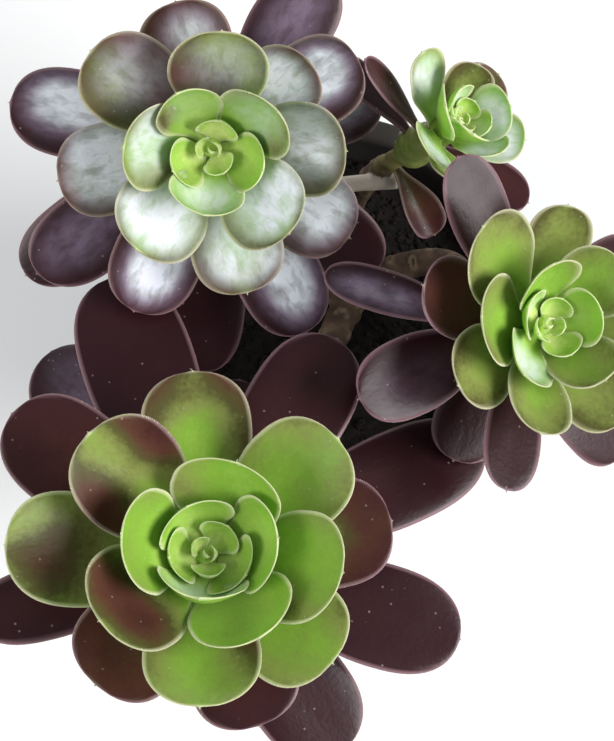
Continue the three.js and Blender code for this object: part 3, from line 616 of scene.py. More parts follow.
def leaf_material(name, wrinkle_depth, glow, shine):
    """Fleshy leaf with a waxy skin: soft gloss, colour that drifts from green to purple with age
    and sun, a pale margin, lengthwise wrinkles, painted silver highlights and a few dried water
    spots. Green leaves let more light through, `glow`, and purple ones have more gloss, `shine`."""
    material, tree = new_material(name)
    coords = add_node(tree, "ShaderNodeTexCoord")
    tone = add_node(tree, "ShaderNodeAttribute", attribute_name="tone")
    rim = add_node(tree, "ShaderNodeAttribute", attribute_name="rim")
    # Clouds about 12 mm across drift the tone, and a grain of about 1.5 mm breaks it up.
    clouds = add_node(tree, "ShaderNodeTexNoise", {"Vector": coords.outputs["Object"],
                                                   "Scale": 80.0, "Detail": 3.0})
    grain = add_node(tree, "ShaderNodeTexNoise", {"Vector": coords.outputs["Object"],
                                                  "Scale": 650.0, "Detail": 2.0})
    drift = add_node(tree, "ShaderNodeMath", {0: clouds.outputs["Fac"], 1: 0.16, 2: -0.08},
                     operation="MULTIPLY_ADD")
    drift = add_node(tree, "ShaderNodeMath", {0: grain.outputs["Fac"], 1: 0.08,
                                              2: drift.outputs[0]}, operation="MULTIPLY_ADD")
    aged = add_node(tree, "ShaderNodeMath", {0: tone.outputs["Fac"], 1: drift.outputs[0]},
                    operation="ADD")
    aged = add_node(tree, "ShaderNodeMath", {0: aged.outputs[0], 1: 0.04}, operation="SUBTRACT",
                    use_clamp=True)
    skin = add_node(tree, "ShaderNodeValToRGB", {"Fac": aged.outputs[0]}, LEAF_TONES)
    edge = add_node(tree, "ShaderNodeValToRGB", {"Fac": tone.outputs["Fac"]}, RIM_TONES)
    share = add_node(tree, "ShaderNodeMath", {0: rim.outputs["Fac"], 1: 0.85},
                     operation="MULTIPLY")
    coloured = add_node(tree, "ShaderNodeMix", {0: share.outputs[0], MIX_A: skin.outputs[0],
                                                MIX_B: edge.outputs[0]}, data_type="RGBA")
    # Dried water spots, each under 1 mm, a few millimetres apart.
    spots = add_node(tree, "ShaderNodeTexVoronoi", {"Vector": coords.outputs["Object"],
                                                    "Scale": 190.0})
    spotted = add_node(tree, "ShaderNodeMapRange", {0: spots.outputs["Distance"], 1: 0.05,
                                                    2: 0.09, 3: 0.35, 4: 0.0})
    spotted_skin = add_node(tree, "ShaderNodeMix",
                            {0: spotted.outputs[0], MIX_A: coloured.outputs[MIX_RESULT],
                             MIX_B: linear(WATER_SPOT)}, data_type="RGBA")
    # Wrinkles about 3 mm apart and 7 mm long that run along the blade, with finer ones in them.
    lengthwise = add_node(tree, "ShaderNodeMapping", {"Vector": coords.outputs["UV"],
                                                      "Scale": (300.0, 140.0, 1.0)})
    wrinkles = add_node(tree, "ShaderNodeTexNoise", {"Vector": lengthwise.outputs[0],
                                                     "Scale": 1.0, "Detail": 6.0,
                                                     "Roughness": 0.6, "Distortion": 0.5})
    # Painted highlight: silver where the glare is strong, lilac where it is faint on a purple leaf.
    bloom = add_node(tree, "ShaderNodeAttribute", attribute_name="bloom")
    unglared = add_node(tree, "ShaderNodeMath", {0: 1.0, 1: bloom.outputs["Fac"]},
                    operation="SUBTRACT")
    lilac = add_node(tree, "ShaderNodeMath", {0: tone.outputs["Fac"], 1: unglared.outputs[0]},
                     operation="MULTIPLY")
    glare_colour = add_node(tree, "ShaderNodeValToRGB", {"Fac": lilac.outputs[0]}, GLARE_TONES)
    # The painted highlight is broken up in clouds, and the wrinkles show in it as streaks.
    streaks = add_node(tree, "ShaderNodeMapRange", {0: wrinkles.outputs["Fac"], 1: 0.34, 2: 0.56,
                                                    3: 0.6, 4: 1.0})
    patches = add_node(tree, "ShaderNodeMapRange", {0: clouds.outputs["Fac"], 1: 0.3, 2: 0.52,
                                                    3: 0.7, 4: 1.3})
    broken_glare = add_node(tree, "ShaderNodeMath", {0: streaks.outputs[0], 1: patches.outputs[0]},
                    operation="MULTIPLY")
    painted_highlight = add_node(tree, "ShaderNodeMath", {0: bloom.outputs["Fac"], 1: broken_glare.outputs[0]},
                      operation="MULTIPLY", use_clamp=True)
    highlighted = add_node(tree, "ShaderNodeMix", {0: painted_highlight.outputs[0],
                                             MIX_A: spotted_skin.outputs[MIX_RESULT],
                                             MIX_B: glare_colour.outputs[0]}, data_type="RGBA")
    # Purple leaves are smoother.
    relief = add_node(tree, "ShaderNodeMapRange", {0: tone.outputs["Fac"], 1: 0.5, 2: 0.9,
                                                   3: 0.6, 4: 0.3})
    fine = add_node(tree, "ShaderNodeBump", {"Height": grain.outputs["Fac"], "Strength": 0.15,
                                             "Distance": 0.0004})
    bump = add_node(tree, "ShaderNodeBump", {"Height": wrinkles.outputs["Fac"],
                                             "Normal": fine.outputs[0],
                                             "Strength": relief.outputs[0],
                                             "Distance": wrinkle_depth})
    gloss = add_node(tree, "ShaderNodeMapRange", {0: clouds.outputs["Fac"], 1: 0.3, 2: 0.7,
                                                  3: 0.26, 4: 0.36})
    rough = add_node(tree, "ShaderNodeMath", {0: tone.outputs["Fac"], 1: 0.02,
                                              2: gloss.outputs[0]}, operation="MULTIPLY_ADD")
    flesh = add_node(tree, "ShaderNodeBsdfPrincipled", {
        "Base Color": highlighted.outputs[MIX_RESULT], "Roughness": rough.outputs[0],
        "Normal": bump.outputs[0], "IOR": 1.45, "Specular IOR Level": shine,
        "Subsurface Weight": glow, "Subsurface Radius": (0.5, 1.0, 0.25),
        "Subsurface Scale": 0.004})
    add_node(tree, "ShaderNodeOutputMaterial", {"Surface": flesh.outputs[0]})
    return material


def hair_material(name, colour):
    """Fine glassy hairs that catch the light."""
    material, tree = new_material(name)
    coords = add_node(tree, "ShaderNodeTexCoord")
    # Their tint drifts over about 8 mm of the margin.
    tint = add_node(tree, "ShaderNodeTexNoise", {"Vector": coords.outputs["Object"],
                                                 "Scale": 120.0})
    mixed = add_node(tree, "ShaderNodeMix", {0: tint.outputs["Fac"], MIX_A: linear(colour),
                                             MIX_B: linear("E4DCCB")}, data_type="RGBA")
    hair = add_node(tree, "ShaderNodeBsdfPrincipled", {
        "Base Color": mixed.outputs[MIX_RESULT], "Roughness": 0.45, "IOR": 1.45})
    add_node(tree, "ShaderNodeOutputMaterial", {"Surface": hair.outputs[0]})
    return material


def bark_material():
    """Woody succulent stem: rough grey-brown cork with pale scars, yellow-green near the leaves,
    and the pale wood of a cut shoot."""
    material, tree = new_material("woody_stem_bark")
    coords = add_node(tree, "ShaderNodeTexCoord")
    scar = add_node(tree, "ShaderNodeAttribute", attribute_name="scar")
    young = add_node(tree, "ShaderNodeAttribute", attribute_name="young")
    cut = add_node(tree, "ShaderNodeAttribute", attribute_name="cut")
    # Clouds about 7 mm across, and cork grain about 1 mm across and 0.5 mm deep.
    clouds = add_node(tree, "ShaderNodeTexNoise", {"Vector": coords.outputs["Object"],
                                                   "Scale": 140.0, "Detail": 4.0})
    cork = add_node(tree, "ShaderNodeTexNoise", {"Vector": coords.outputs["Object"],
                                                 "Scale": 900.0, "Detail": 3.0})
    old = add_node(tree, "ShaderNodeValToRGB", {"Fac": clouds.outputs["Fac"]}, OLD_CORK)
    fresh = add_node(tree, "ShaderNodeValToRGB", {"Fac": clouds.outputs["Fac"]}, YOUNG_CORK)
    skin = add_node(tree, "ShaderNodeMix", {0: young.outputs["Fac"], MIX_A: old.outputs[0],
                                            MIX_B: fresh.outputs[0]}, data_type="RGBA")
    scarred = add_node(tree, "ShaderNodeMix", {0: scar.outputs["Fac"],
                                               MIX_A: skin.outputs[MIX_RESULT],
                                               MIX_B: linear("9A876C")}, data_type="RGBA")
    sawn = add_node(tree, "ShaderNodeMix", {0: cut.outputs["Fac"],
                                            MIX_A: scarred.outputs[MIX_RESULT],
                                            MIX_B: linear("D8CFBE")}, data_type="RGBA")
    bump = add_node(tree, "ShaderNodeBump", {"Height": cork.outputs["Fac"], "Strength": 0.6,
                                             "Distance": 0.0005})
    bark = add_node(tree, "ShaderNodeBsdfPrincipled", {
        "Base Color": sawn.outputs[MIX_RESULT], "Roughness": 0.82, "Normal": bump.outputs[0],
        "IOR": 1.45})
    add_node(tree, "ShaderNodeOutputMaterial", {"Surface": bark.outputs[0]})
    return material


def soil_material():
    """Damp potting soil: matt, crumbly, paler fibres, and near-black, partly painted shade."""
    material, tree = new_material("damp_potting_soil")
    coords = add_node(tree, "ShaderNodeTexCoord")
    # Lumps about 4 mm across and 1 mm deep.
    lumps = add_node(tree, "ShaderNodeTexNoise", {"Vector": coords.outputs["Object"],
                                                  "Scale": 260.0, "Detail": 5.0,
                                                  "Roughness": 0.65})
    # Near-black tones: the soil's own dark brown with painted shade in it.
    colour = add_node(tree, "ShaderNodeValToRGB", {"Fac": lumps.outputs["Fac"]}, SOIL_AND_SHADE_TONES)
    bump = add_node(tree, "ShaderNodeBump", {"Height": lumps.outputs["Fac"], "Strength": 0.8,
                                             "Distance": 0.001})
    earth = add_node(tree, "ShaderNodeBsdfPrincipled", {
        "Base Color": colour.outputs[0], "Roughness": 0.95, "Normal": bump.outputs[0],
        "IOR": 1.4})
    add_node(tree, "ShaderNodeOutputMaterial", {"Surface": earth.outputs[0]})
    return material


def clay_material():
    """Unglazed charcoal clay: matt and nearly black, with grit and a faint salt crust."""
    material, tree = new_material("unglazed_charcoal_clay")
    coords = add_node(tree, "ShaderNodeTexCoord")
    place = add_node(tree, "ShaderNodeSeparateXYZ", {0: coords.outputs["Object"]})
    # Clouds about 36 mm across, and grit about 0.7 mm across.
    clouds = add_node(tree, "ShaderNodeTexNoise", {"Vector": coords.outputs["Object"],
                                                   "Scale": 28.0, "Detail": 6.0,
                                                   "Roughness": 0.6})
    grit = add_node(tree, "ShaderNodeTexNoise", {"Vector": coords.outputs["Object"],
                                                 "Scale": 1400.0, "Detail": 2.0})
    clay = add_node(tree, "ShaderNodeValToRGB", {"Fac": clouds.outputs["Fac"]}, CLAY_TONES)
    # Salt dries out of the damp in the lowest 75 mm.
    height = add_node(tree, "ShaderNodeMapRange", {0: place.outputs["Z"], 1: 0.0, 2: 0.075,
                                                   3: 0.9, 4: 0.0})
    damp = add_node(tree, "ShaderNodeMath", {0: clouds.outputs["Fac"], 1: height.outputs[0]},
                    operation="MULTIPLY")
    salt = add_node(tree, "ShaderNodeMapRange", {0: damp.outputs[0], 1: 0.3, 2: 0.62, 3: 0.0,
                                                 4: 0.45})
    bloomed = add_node(tree, "ShaderNodeMix", {0: salt.outputs[0], MIX_A: clay.outputs[0],
                                               MIX_B: linear("8A827A")}, data_type="RGBA")
    bump = add_node(tree, "ShaderNodeBump", {"Height": grit.outputs["Fac"], "Strength": 0.35,
                                             "Distance": 0.0003})
    fired = add_node(tree, "ShaderNodeBsdfPrincipled", {
        "Base Color": bloomed.outputs[MIX_RESULT], "Roughness": 0.88,
        "Normal": bump.outputs[0], "IOR": 1.5})
    add_node(tree, "ShaderNodeOutputMaterial", {"Surface": fired.outputs[0]})
    return material


# ---- Margin hairs, by geometry nodes ----------------------------------------------------------


def geometry_tree(name, inputs):
    """An empty geometry tree with named inputs, and the identifier of each."""
    tree = bpy.data.node_groups.new(name, "GeometryNodeTree")
    tree.interface.new_socket("Geometry", in_out="INPUT", socket_type="NodeSocketGeometry")
    identifiers = {label: tree.interface.new_socket(label, in_out="INPUT",
                                                    socket_type=kind).identifier
                   for label, kind in inputs.items()}
    tree.interface.new_socket("Geometry", in_out="OUTPUT", socket_type="NodeSocketGeometry")
    return tree, identifiers


def finish_tree(tree, geometry):
    """Realize Instances and Set Material, as every tree here ends."""
    source = next(n for n in tree.nodes if n.bl_idname == "NodeGroupInput")
    real = add_node(tree, "GeometryNodeRealizeInstances", {"Geometry": geometry})
    painted = add_node(tree, "GeometryNodeSetMaterial", {
        "Geometry": real.outputs[0], "Material": source.outputs["Material"]})
    add_node(tree, "NodeGroupOutput", {"Geometry": painted.outputs[0]})


SHORTEST_HAIR, LONGEST_HAIR = 0.55, 1.15  # as shares of the full-grown length


def hair_tree():
    """Tapering hairs at even spacing along the margins, each leaning its own way."""
    tree, identifiers = geometry_tree("margin_hairs", {
        "Spacing": "NodeSocketFloat", "Hair length": "NodeSocketFloat",
        "Hair radius": "NodeSocketFloat", "Straggle": "NodeSocketFloat",
        "Seed": "NodeSocketInt", "Material": "NodeSocketMaterial"})
    given = add_node(tree, "NodeGroupInput")
    curves = add_node(tree, "GeometryNodeMeshToCurve", {"Mesh": given.outputs["Geometry"]})
    evenly = add_node(tree, "GeometryNodeResampleCurve", {
        "Curve": curves.outputs[0], "Length": given.outputs["Spacing"]}, mode="LENGTH")
    arrow = add_node(tree, "GeometryNodeInputNamedAttribute", {"Name": "outward"},
                     data_type="FLOAT_VECTOR")
    stray = add_node(tree, "FunctionNodeRandomValue", {
        0: (-1.0, -1.0, -1.0), 1: (1.0, 1.0, 1.0), "Seed": given.outputs["Seed"]},
        data_type="FLOAT_VECTOR")
    strayed = add_node(tree, "ShaderNodeVectorMath", {
        0: stray.outputs[0], "Scale": given.outputs["Straggle"]}, operation="SCALE")
    aimed = add_node(tree, "ShaderNodeVectorMath", {
        0: arrow.outputs[0], 1: strayed.outputs[0]}, operation="ADD")
    turned = add_node(tree, "FunctionNodeAlignRotationToVector", {
        "Vector": aimed.outputs[0]}, axis="Z")
    size = add_node(tree, "FunctionNodeRandomValue", {
        2: SHORTEST_HAIR, 3: LONGEST_HAIR, "Seed": given.outputs["Seed"]}, data_type="FLOAT")
    hair = add_node(tree, "GeometryNodeMeshCone", {
        "Vertices": 3, "Side Segments": 1, "Fill Segments": 1, "Radius Top": 0.0,
        "Radius Bottom": given.outputs["Hair radius"], "Depth": given.outputs["Hair length"]})
    placed = add_node(tree, "GeometryNodeInstanceOnPoints", {
        "Points": evenly.outputs[0], "Instance": hair.outputs["Mesh"],
        "Rotation": turned.outputs[0], "Scale": size.outputs[1]})
    finish_tree(tree, placed.outputs[0])
    return tree, identifiers


def grown_mesh(name, source, tree, identifiers, values):
    """The plain mesh that a geometry tree makes of a source mesh."""
    carrier = carrier_of(name, source)
    modifier = carrier.modifiers.new("grow", "NODES")
    modifier.node_group = tree
    for label, value in values.items():
        modifier[identifiers[label]] = value
    return evaluated_mesh(carrier, name)


def margin_mesh(margins):
    """The leaf margins as edges, with the way that each hair points."""
    mesh = bpy.data.meshes.new("margins")
    points, arrows, edges = [], [], []
    for line, out in margins:
        edges += [(len(points) + i, len(points) + i + 1) for i in range(len(line) - 1)]
        points += (line * MM).tolist()
        arrows += out.tolist()
    mesh.from_pydata(points, edges, [])
    attribute = mesh.attributes.new("outward", "FLOAT_VECTOR", "POINT")
    attribute.data.foreach_set("vector", np.asarray(arrows, np.float32).ravel())
    return mesh


# ---- Stem -------------------------------------------------------------------------------------


FINE_STEPS = 60  # between two points that a path is drawn through
SHORT_STEPS, BRANCH_STEPS = 40, 90


def smooth_path(points, steps):
    """A centripetal curve through the points, at even steps."""
    given = [np.array(p, float) for p in points]
    chain = [2 * given[0] - given[1], *given, 2 * given[-1] - given[-2]]
    fine = []
    for x0, x1, x2, x3 in zip(chain, chain[1:], chain[2:], chain[3:]):
        d0, d1, d2 = (math.sqrt(np.linalg.norm(b - a)) for a, b in ((x0, x1), (x1, x2), (x2, x3)))
        t1 = ((x1 - x0) / d0 - (x2 - x0) / (d0 + d1) + (x2 - x1) / d1) * d1
        t2 = ((x2 - x1) / d1 - (x3 - x1) / (d1 + d2) + (x3 - x2) / d2) * d1
        for w in np.linspace(0, 1, FINE_STEPS, endpoint=False):
            fine.append(x1 + t1 * w + (-3 * x1 + 3 * x2 - 2 * t1 - t2) * w ** 2
                        + (2 * x1 - 2 * x2 + t1 + t2) * w ** 3)
    fine = np.array(fine + [given[-1]])
    run = np.append(0, np.cumsum(np.linalg.norm(np.diff(fine, axis=0), axis=1)))
    at = np.linspace(0, run[-1], steps)
    return np.column_stack([np.interp(at, run, fine[:, k]) for k in range(3)]), at


OFF_THE_PATH = [0.3, 0.5, 0.81]  # a direction that no run of the stem starts in


def frames_along(path):
    """Two directions across the path at each point, carried along it without twist."""
    along = np.gradient(path, axis=0)
    along /= np.linalg.norm(along, axis=1)[:, None]
    side = np.cross(along[0], OFF_THE_PATH)
    firsts = []
    for direction in along:
        side = side - direction * np.dot(side, direction)
        side /= np.linalg.norm(side)
        firsts.append(side)
    firsts = np.array(firsts)
    return firsts, np.cross(along, firsts)


def branch_path(name):
    plan = ROSETTES[name]
    turn, tip = place_matrix(plan)
    axis = turn[:, 2]
    top = tip - axis * (core_depth(plan) + SEAT_GAP)
    return [FORK, *BRANCHES[name][0], tuple(top - axis * STRAIGHT_NECK), tuple(top)]


def stem_runs():
    """Every run of the stem: its name, path, distances and radii."""
    runs = [("trunk", *smooth_path([TRUNK_FOOT, FORK], SHORT_STEPS), TRUNK_RADIUS,
             FORK_RADIUS)]
    for name, (_, radius) in BRANCHES.items():
        runs.append((name, *smooth_path(branch_path(name), BRANCH_STEPS), FORK_RADIUS, radius))
    runs.append(("stub", *smooth_path(STUB, SHORT_STEPS), STUB_RADIUS, STUB_RADIUS))
    return runs


STEM_SIDES = 28
STEM_VOXEL = 0.85
STEM_SLIMMING = 0.97  # the voxels and the raised scars make it thicker again
SMOOTHING_PASSES = 4

SCAR_PITCH = 3.1  # along the branch from one leaf scar to the next
SCAR_HALF_WIDTH = 2.6
SCAR_HALF_HEIGHT = 1.25
SCAR_RIDGE = 0.4
SCAR_SOFTNESS = 0.35
SCAR_PALENESS = 0.55
OLD_SCARS = 0.3  # what is left of the scars on the trunk and the cut shoot
YOUNG_LENGTH = 28  # of the green bark under a rosette


def stem_tubes(runs):
    """A round tube along each run, all in one mesh."""
    points, faces = [], []
    theta = 2 * np.pi * np.arange(STEM_SIDES) / STEM_SIDES
    for _, path, at, start, end in runs:
        firsts, seconds = frames_along(path)
        radius = np.interp(at, [0, at[-1]], [start, end])[:, None, None] * STEM_SLIMMING
        ring = path[:, None] + radius * (firsts[:, None] * np.cos(theta)[:, None]
                                         + seconds[:, None] * np.sin(theta)[:, None])
        everything = np.vstack([ring.reshape(-1, 3), path[:1], path[-1:]])
        tube = faces_outwards(everything, tube_faces(len(path), STEM_SIDES))
        count = sum(len(p) for p in points)
        faces += [tuple(i + count for i in face) for face in tube]
        points.append(everything)
    return mesh_from("stem_tubes", np.vstack(points) * MM, faces)


def joined_smoothly(tubes):
    """The tubes as one skin of small voxels, with its forks rounded."""
    carrier = carrier_of("stem", tubes)
    remesh = carrier.modifiers.new("join", "REMESH")
    remesh.mode = "VOXEL"
    remesh.voxel_size = STEM_VOXEL * MM
    mesh = evaluated_mesh(carrier, "stem")
    smoothed = bmesh.new()
    smoothed.from_mesh(mesh)
    for _ in range(SMOOTHING_PASSES):
        bmesh.ops.smooth_vert(smoothed, verts=smoothed.verts, factor=0.5,
                              use_axis_x=True, use_axis_y=True, use_axis_z=True)
    smoothed.to_mesh(mesh)
    smoothed.free()
    return mesh


def scar_ridges(along, angle, radius, length):
    """Rings round the leaf scars of one run, from 0 to 1, at places along and round it."""
    ridge = np.zeros(len(along))
    for k in range(int(length / SCAR_PITCH)):
        centre = (k + 0.5) * SCAR_PITCH
        turn = math.radians(GOLDEN_ANGLE * k)
        dx = (np.mod(angle - turn + np.pi, 2 * np.pi) - np.pi) * radius / SCAR_HALF_WIDTH
        dz = (along - centre) / SCAR_HALF_HEIGHT
        spread = np.sqrt(dx ** 2 + dz ** 2)
        ridge = np.maximum(ridge, np.exp(-((spread - 1) / SCAR_SOFTNESS) ** 2))
    return ridge


def stem_mesh():
    """The branches joined smoothly, with a spiral of leaf scars raised on their bark."""
    runs = stem_runs()
    mesh = joined_smoothly(stem_tubes(runs))
    co = np.zeros(len(mesh.vertices) * 3)
    mesh.vertices.foreach_get("co", co)
    co = co.reshape(-1, 3) / MM
    nearest = np.full(len(co), 1e9)
    scar, young, cut = (np.zeros(len(co)) for _ in range(3))
    shift = np.zeros((len(co), 3))
    # Each point of the skin takes its looks from the run that it lies nearest to.
    for name, path, at, start, end in runs:
        firsts, seconds = frames_along(path)
        gaps = np.linalg.norm(co[:, None] - path[None], axis=2)
        place = gaps.argmin(1)
        gap = gaps[np.arange(len(co)), place]
        radius = np.interp(at, [0, at[-1]], [start, end])[place]
        own = gap / radius < nearest
        nearest[own] = (gap / radius)[own]
        away = co - path[place]
        angle = np.arctan2((away * seconds[place]).sum(1), (away * firsts[place]).sum(1))
        direction = away / (np.linalg.norm(away, axis=1)[:, None] + 1e-9)
        leafless = name in ("trunk", "stub")
        ridge = scar_ridges(at[place], angle, radius, at[-1])
        strength = OLD_SCARS if leafless else 1.0
        shift[own] = (direction * (ridge * SCAR_RIDGE * strength)[:, None])[own]
        scar[own] = (ridge * SCAR_PALENESS * strength)[own]
        top = at[-1] - at[place]
        young[own] = 0 if leafless else np.clip(1 - top / YOUNG_LENGTH, 0, 1)[own]
        cut[own] = name == "stub"
    co = (co + shift) * MM
    mesh.vertices.foreach_set("co", co.ravel())
    set_floats(mesh, {"scar": scar, "young": young, "cut": cut})
    shade_smooth(mesh)
    return mesh


# ---- Pot and soil -----------------------------------------------------------------------------

POT_MOUTH_RADIUS = POT_RIM_RADIUS - RIM_BAND_STEP
POT_SEGMENTS = 160
THROWING_RING = 0.14  # how far the faint rings of the potter's hand stand out
RING_PITCH = 1.05  # radians of the rings' wave for each mm of height
DRAIN_HOLES = 3
FOOT_INSET, FOOT_ROUND = 8, 2.2
BAND_ROUND, LIP_ROUND, MOUTH_ROUND = 2, 3, 2.5
WALL_STEP, BAND_STEP = 2.0, 3.0
THROAT_DEPTH, THROAT_STEP = 24, 2  # where the inside begins to narrow to the base
SOIL_SEGMENTS, SOIL_ROWS = 150, 56
DIPS, LUMPS = (1.3, 0.09), (0.8, 0.3)  # height of the soil's waves, and how close they are
SOIL_MIDDLE = 1.2  # radius of the innermost ring of the soil's top
LEVEL_REACH, LEVEL_REST = 3, 0.1  # the soil is nearly level where it meets the wall
SOIL_SLACK = 0.8  # how far the middle of the dips and lumps lies under the packed soil's top


def pot_radius_at(z):
    return POT_FOOT_RADIUS + (POT_MOUTH_RADIUS - POT_FOOT_RADIUS) * z / POT_HEIGHT


def lathe(outline, segments, ripple):
    """A closed shape turned round Z from (radius, height) points that start and end on the axis."""
    theta = 2 * np.pi * np.arange(segments) / segments
    inner = np.array(outline[1:-1], float)
    r, z = inner[:, :1] + ripple(inner), inner[:, 1:]
    ring = np.stack([r * np.cos(theta), r * np.sin(theta), z + 0 * theta], -1)
    ends = np.array([[0, 0, outline[0][1]], [0, 0, outline[-1][1]]])
    points = np.vstack([ring.reshape(-1, 3), ends])
    faces = faces_outwards(points, tube_faces(len(inner), segments))
    return points, faces


def pot_outline():
    foot_band = POT_HEIGHT - RIM_BAND_HEIGHT
    inner_top = pot_radius_at(POT_HEIGHT) - POT_WALL
    inner_foot = pot_radius_at(POT_BASE) - POT_WALL

    def arc(cx, cz, radius, start, end, steps=6):
        return [(cx + radius * math.cos(math.radians(a)), cz + radius * math.sin(math.radians(a)))
                for a in np.linspace(start, end, steps)]

    wall = [(pot_radius_at(z), z) for z in np.arange(4, foot_band - 0.5, WALL_STEP)]
    band = [(POT_RIM_RADIUS, z) for z in np.arange(foot_band + 4, POT_HEIGHT - 4, BAND_STEP)]
    return ([(0, 0), (POT_FOOT_RADIUS - FOOT_INSET, 0)]
            + arc(POT_FOOT_RADIUS - FOOT_ROUND, FOOT_ROUND, FOOT_ROUND, -90, -10)
            + wall + [(pot_radius_at(foot_band), foot_band)]
            + arc(POT_RIM_RADIUS - BAND_ROUND, foot_band + BAND_ROUND, BAND_ROUND, -90, 0)
            + band + arc(POT_RIM_RADIUS - LIP_ROUND, POT_HEIGHT - LIP_ROUND, LIP_ROUND, 0, 90)
            + arc(inner_top + MOUTH_ROUND, POT_HEIGHT - MOUTH_ROUND, MOUTH_ROUND, 90, 180)
            + [(inner_top - THROAT_STEP, POT_HEIGHT - THROAT_DEPTH), (inner_foot, POT_BASE),
               (0, POT_BASE)])


def pot_mesh():
    """The pot, turned on a wheel: faint rings on its wall, soft edges and three drain holes."""

    def rings(points):
        outside = (points[:, 0] > pot_radius_at(points[:, 1]) - 1) & (points[:, 1] > 3)
        return (THROWING_RING * np.sin(points[:, 1] * RING_PITCH) * outside)[:, None]

    points, faces = lathe(pot_outline(), POT_SEGMENTS, rings)
    body = carrier_of("pot", mesh_from("pot", points * MM, faces))
    drills = bmesh.new()
    for hole in range(DRAIN_HOLES):
        angle = hole / DRAIN_HOLES * 2 * math.pi
        bmesh.ops.create_cone(
            drills, cap_ends=True, segments=28, radius1=DRAIN_RADIUS * MM,
            radius2=DRAIN_RADIUS * MM, depth=3 * POT_BASE * MM,
            matrix=Matrix.Translation((DRAIN_RING_RADIUS * MM * math.cos(angle),
                                       DRAIN_RING_RADIUS * MM * math.sin(angle), 0)))
    drill_mesh = bpy.data.meshes.new("drills")
    drills.to_mesh(drill_mesh)
    drills.free()
    drill = carrier_of("pot_drill", drill_mesh)
    cutter = body.modifiers.new("drain", "BOOLEAN")
    cutter.operation = "DIFFERENCE"
    cutter.solver = "EXACT"
    cutter.object = drill
    done = evaluated_mesh(body, "pot")
    bpy.data.objects.remove(drill)
    return done


def soil_mesh():
    """The soil: level with dips and lumps on top, and the pot's taper below."""
    inset = POT_WALL + SEAT_GAP
    edge = pot_radius_at(SOIL_TOP) - inset
    foot = pot_radius_at(POT_BASE) - inset
    theta = 2 * np.pi * np.arange(SOIL_SEGMENTS) / SOIL_SEGMENTS
    radii = np.append(np.linspace(SOIL_MIDDLE, edge - 1, SOIL_ROWS), edge)
    points = [[foot * math.cos(a), foot * math.sin(a), POT_BASE + SEAT_GAP] for a in theta]
    for r in radii[::-1]:
        for a in theta:
            x, y = r * math.cos(a), r * math.sin(a)
            dome = SOIL_TOP + SOIL_DOME * (1 - (r / edge) ** 2)
            lumps = (DIPS[0] * noise.noise(Vector((x, y, 3.0)) * DIPS[1])
                     + LUMPS[0] * noise.noise(Vector((x, y, 9.0)) * LUMPS[1]))
            free = min(1, (edge - r) / LEVEL_REACH + LEVEL_REST)
            points.append([x, y, dome - SOIL_SLACK + lumps * free])
    top = np.mean([p[2] for p in points[-SOIL_SEGMENTS:]])
    everything = np.array(points + [[0, 0, POT_BASE + SEAT_GAP], [0, 0, top]])
    faces = faces_outwards(everything, tube_faces(len(radii) + 1, SOIL_SEGMENTS))
    return mesh_from("soil", everything * MM, faces)


LEAST_UPWARD = 0.6  # of a face's normal where crumbs lie
DENT, DENTS_PER_METRE = 1.6, 900.0  # dents about 1 mm across
SMALLEST_CRUMB, LARGEST_CRUMB = 0.35, 1.1
FEW_LARGE = 2.2  # above 1, small crumbs outnumber large ones


def crumb_tree():
    """Dented crumbs of soil strewn over the faces that look up, each its own size and turn."""
    tree, identifiers = geometry_tree("soil_crumbs", {
        "Density": "NodeSocketFloat", "Crumb radius": "NodeSocketFloat",
        "Smallest": "NodeSocketFloat", "Largest": "NodeSocketFloat",
        "Seed": "NodeSocketInt", "Material": "NodeSocketMaterial"})
    given = add_node(tree, "NodeGroupInput")
    normal = add_node(tree, "GeometryNodeInputNormal")
    parts = add_node(tree, "ShaderNodeSeparateXYZ", {0: normal.outputs[0]})
    upward = add_node(tree, "FunctionNodeCompare", {0: parts.outputs["Z"],
                                                     1: LEAST_UPWARD},
                      data_type="FLOAT", operation="GREATER_THAN")
    strewn = add_node(tree, "GeometryNodeDistributePointsOnFaces", {
        "Mesh": given.outputs["Geometry"], "Selection": upward.outputs[0],
        "Density": given.outputs["Density"], "Seed": given.outputs["Seed"]})
    ball = add_node(tree, "GeometryNodeMeshIcoSphere", {
        "Radius": given.outputs["Crumb radius"], "Subdivisions": 1})
    dents = add_node(tree, "ShaderNodeTexNoise", {"Scale": DENTS_PER_METRE})
    centred = add_node(tree, "ShaderNodeVectorMath", {0: dents.outputs["Color"],
                                                      1: (0.5, 0.5, 0.5)}, operation="SUBTRACT")
    pushed = add_node(tree, "ShaderNodeVectorMath", {0: centred.outputs[0],
                                                     "Scale": DENT * MM}, operation="SCALE")
    crumb = add_node(tree, "GeometryNodeSetPosition", {"Geometry": ball.outputs["Mesh"],
                                                       "Offset": pushed.outputs[0]})
    spin = add_node(tree, "FunctionNodeRandomValue", {
        0: (0.0, 0.0, 0.0), 1: (6.283, 6.283, 6.283), "Seed": given.outputs["Seed"]},
        data_type="FLOAT_VECTOR")
    size = add_node(tree, "FunctionNodeRandomValue", {
        2: given.outputs["Smallest"], 3: given.outputs["Largest"],
        "Seed": given.outputs["Seed"]}, data_type="FLOAT")
    uneven = add_node(tree, "ShaderNodeMath", {0: size.outputs[1], 1: FEW_LARGE},
                      operation="POWER")
    placed = add_node(tree, "GeometryNodeInstanceOnPoints", {
        "Points": strewn.outputs["Points"], "Instance": crumb.outputs[0],
        "Rotation": spin.outputs[0], "Scale": uneven.outputs[0]})
    finish_tree(tree, placed.outputs[0])
    return tree, identifiers


# ---- Settings that a user would change --------------------------------------------------------


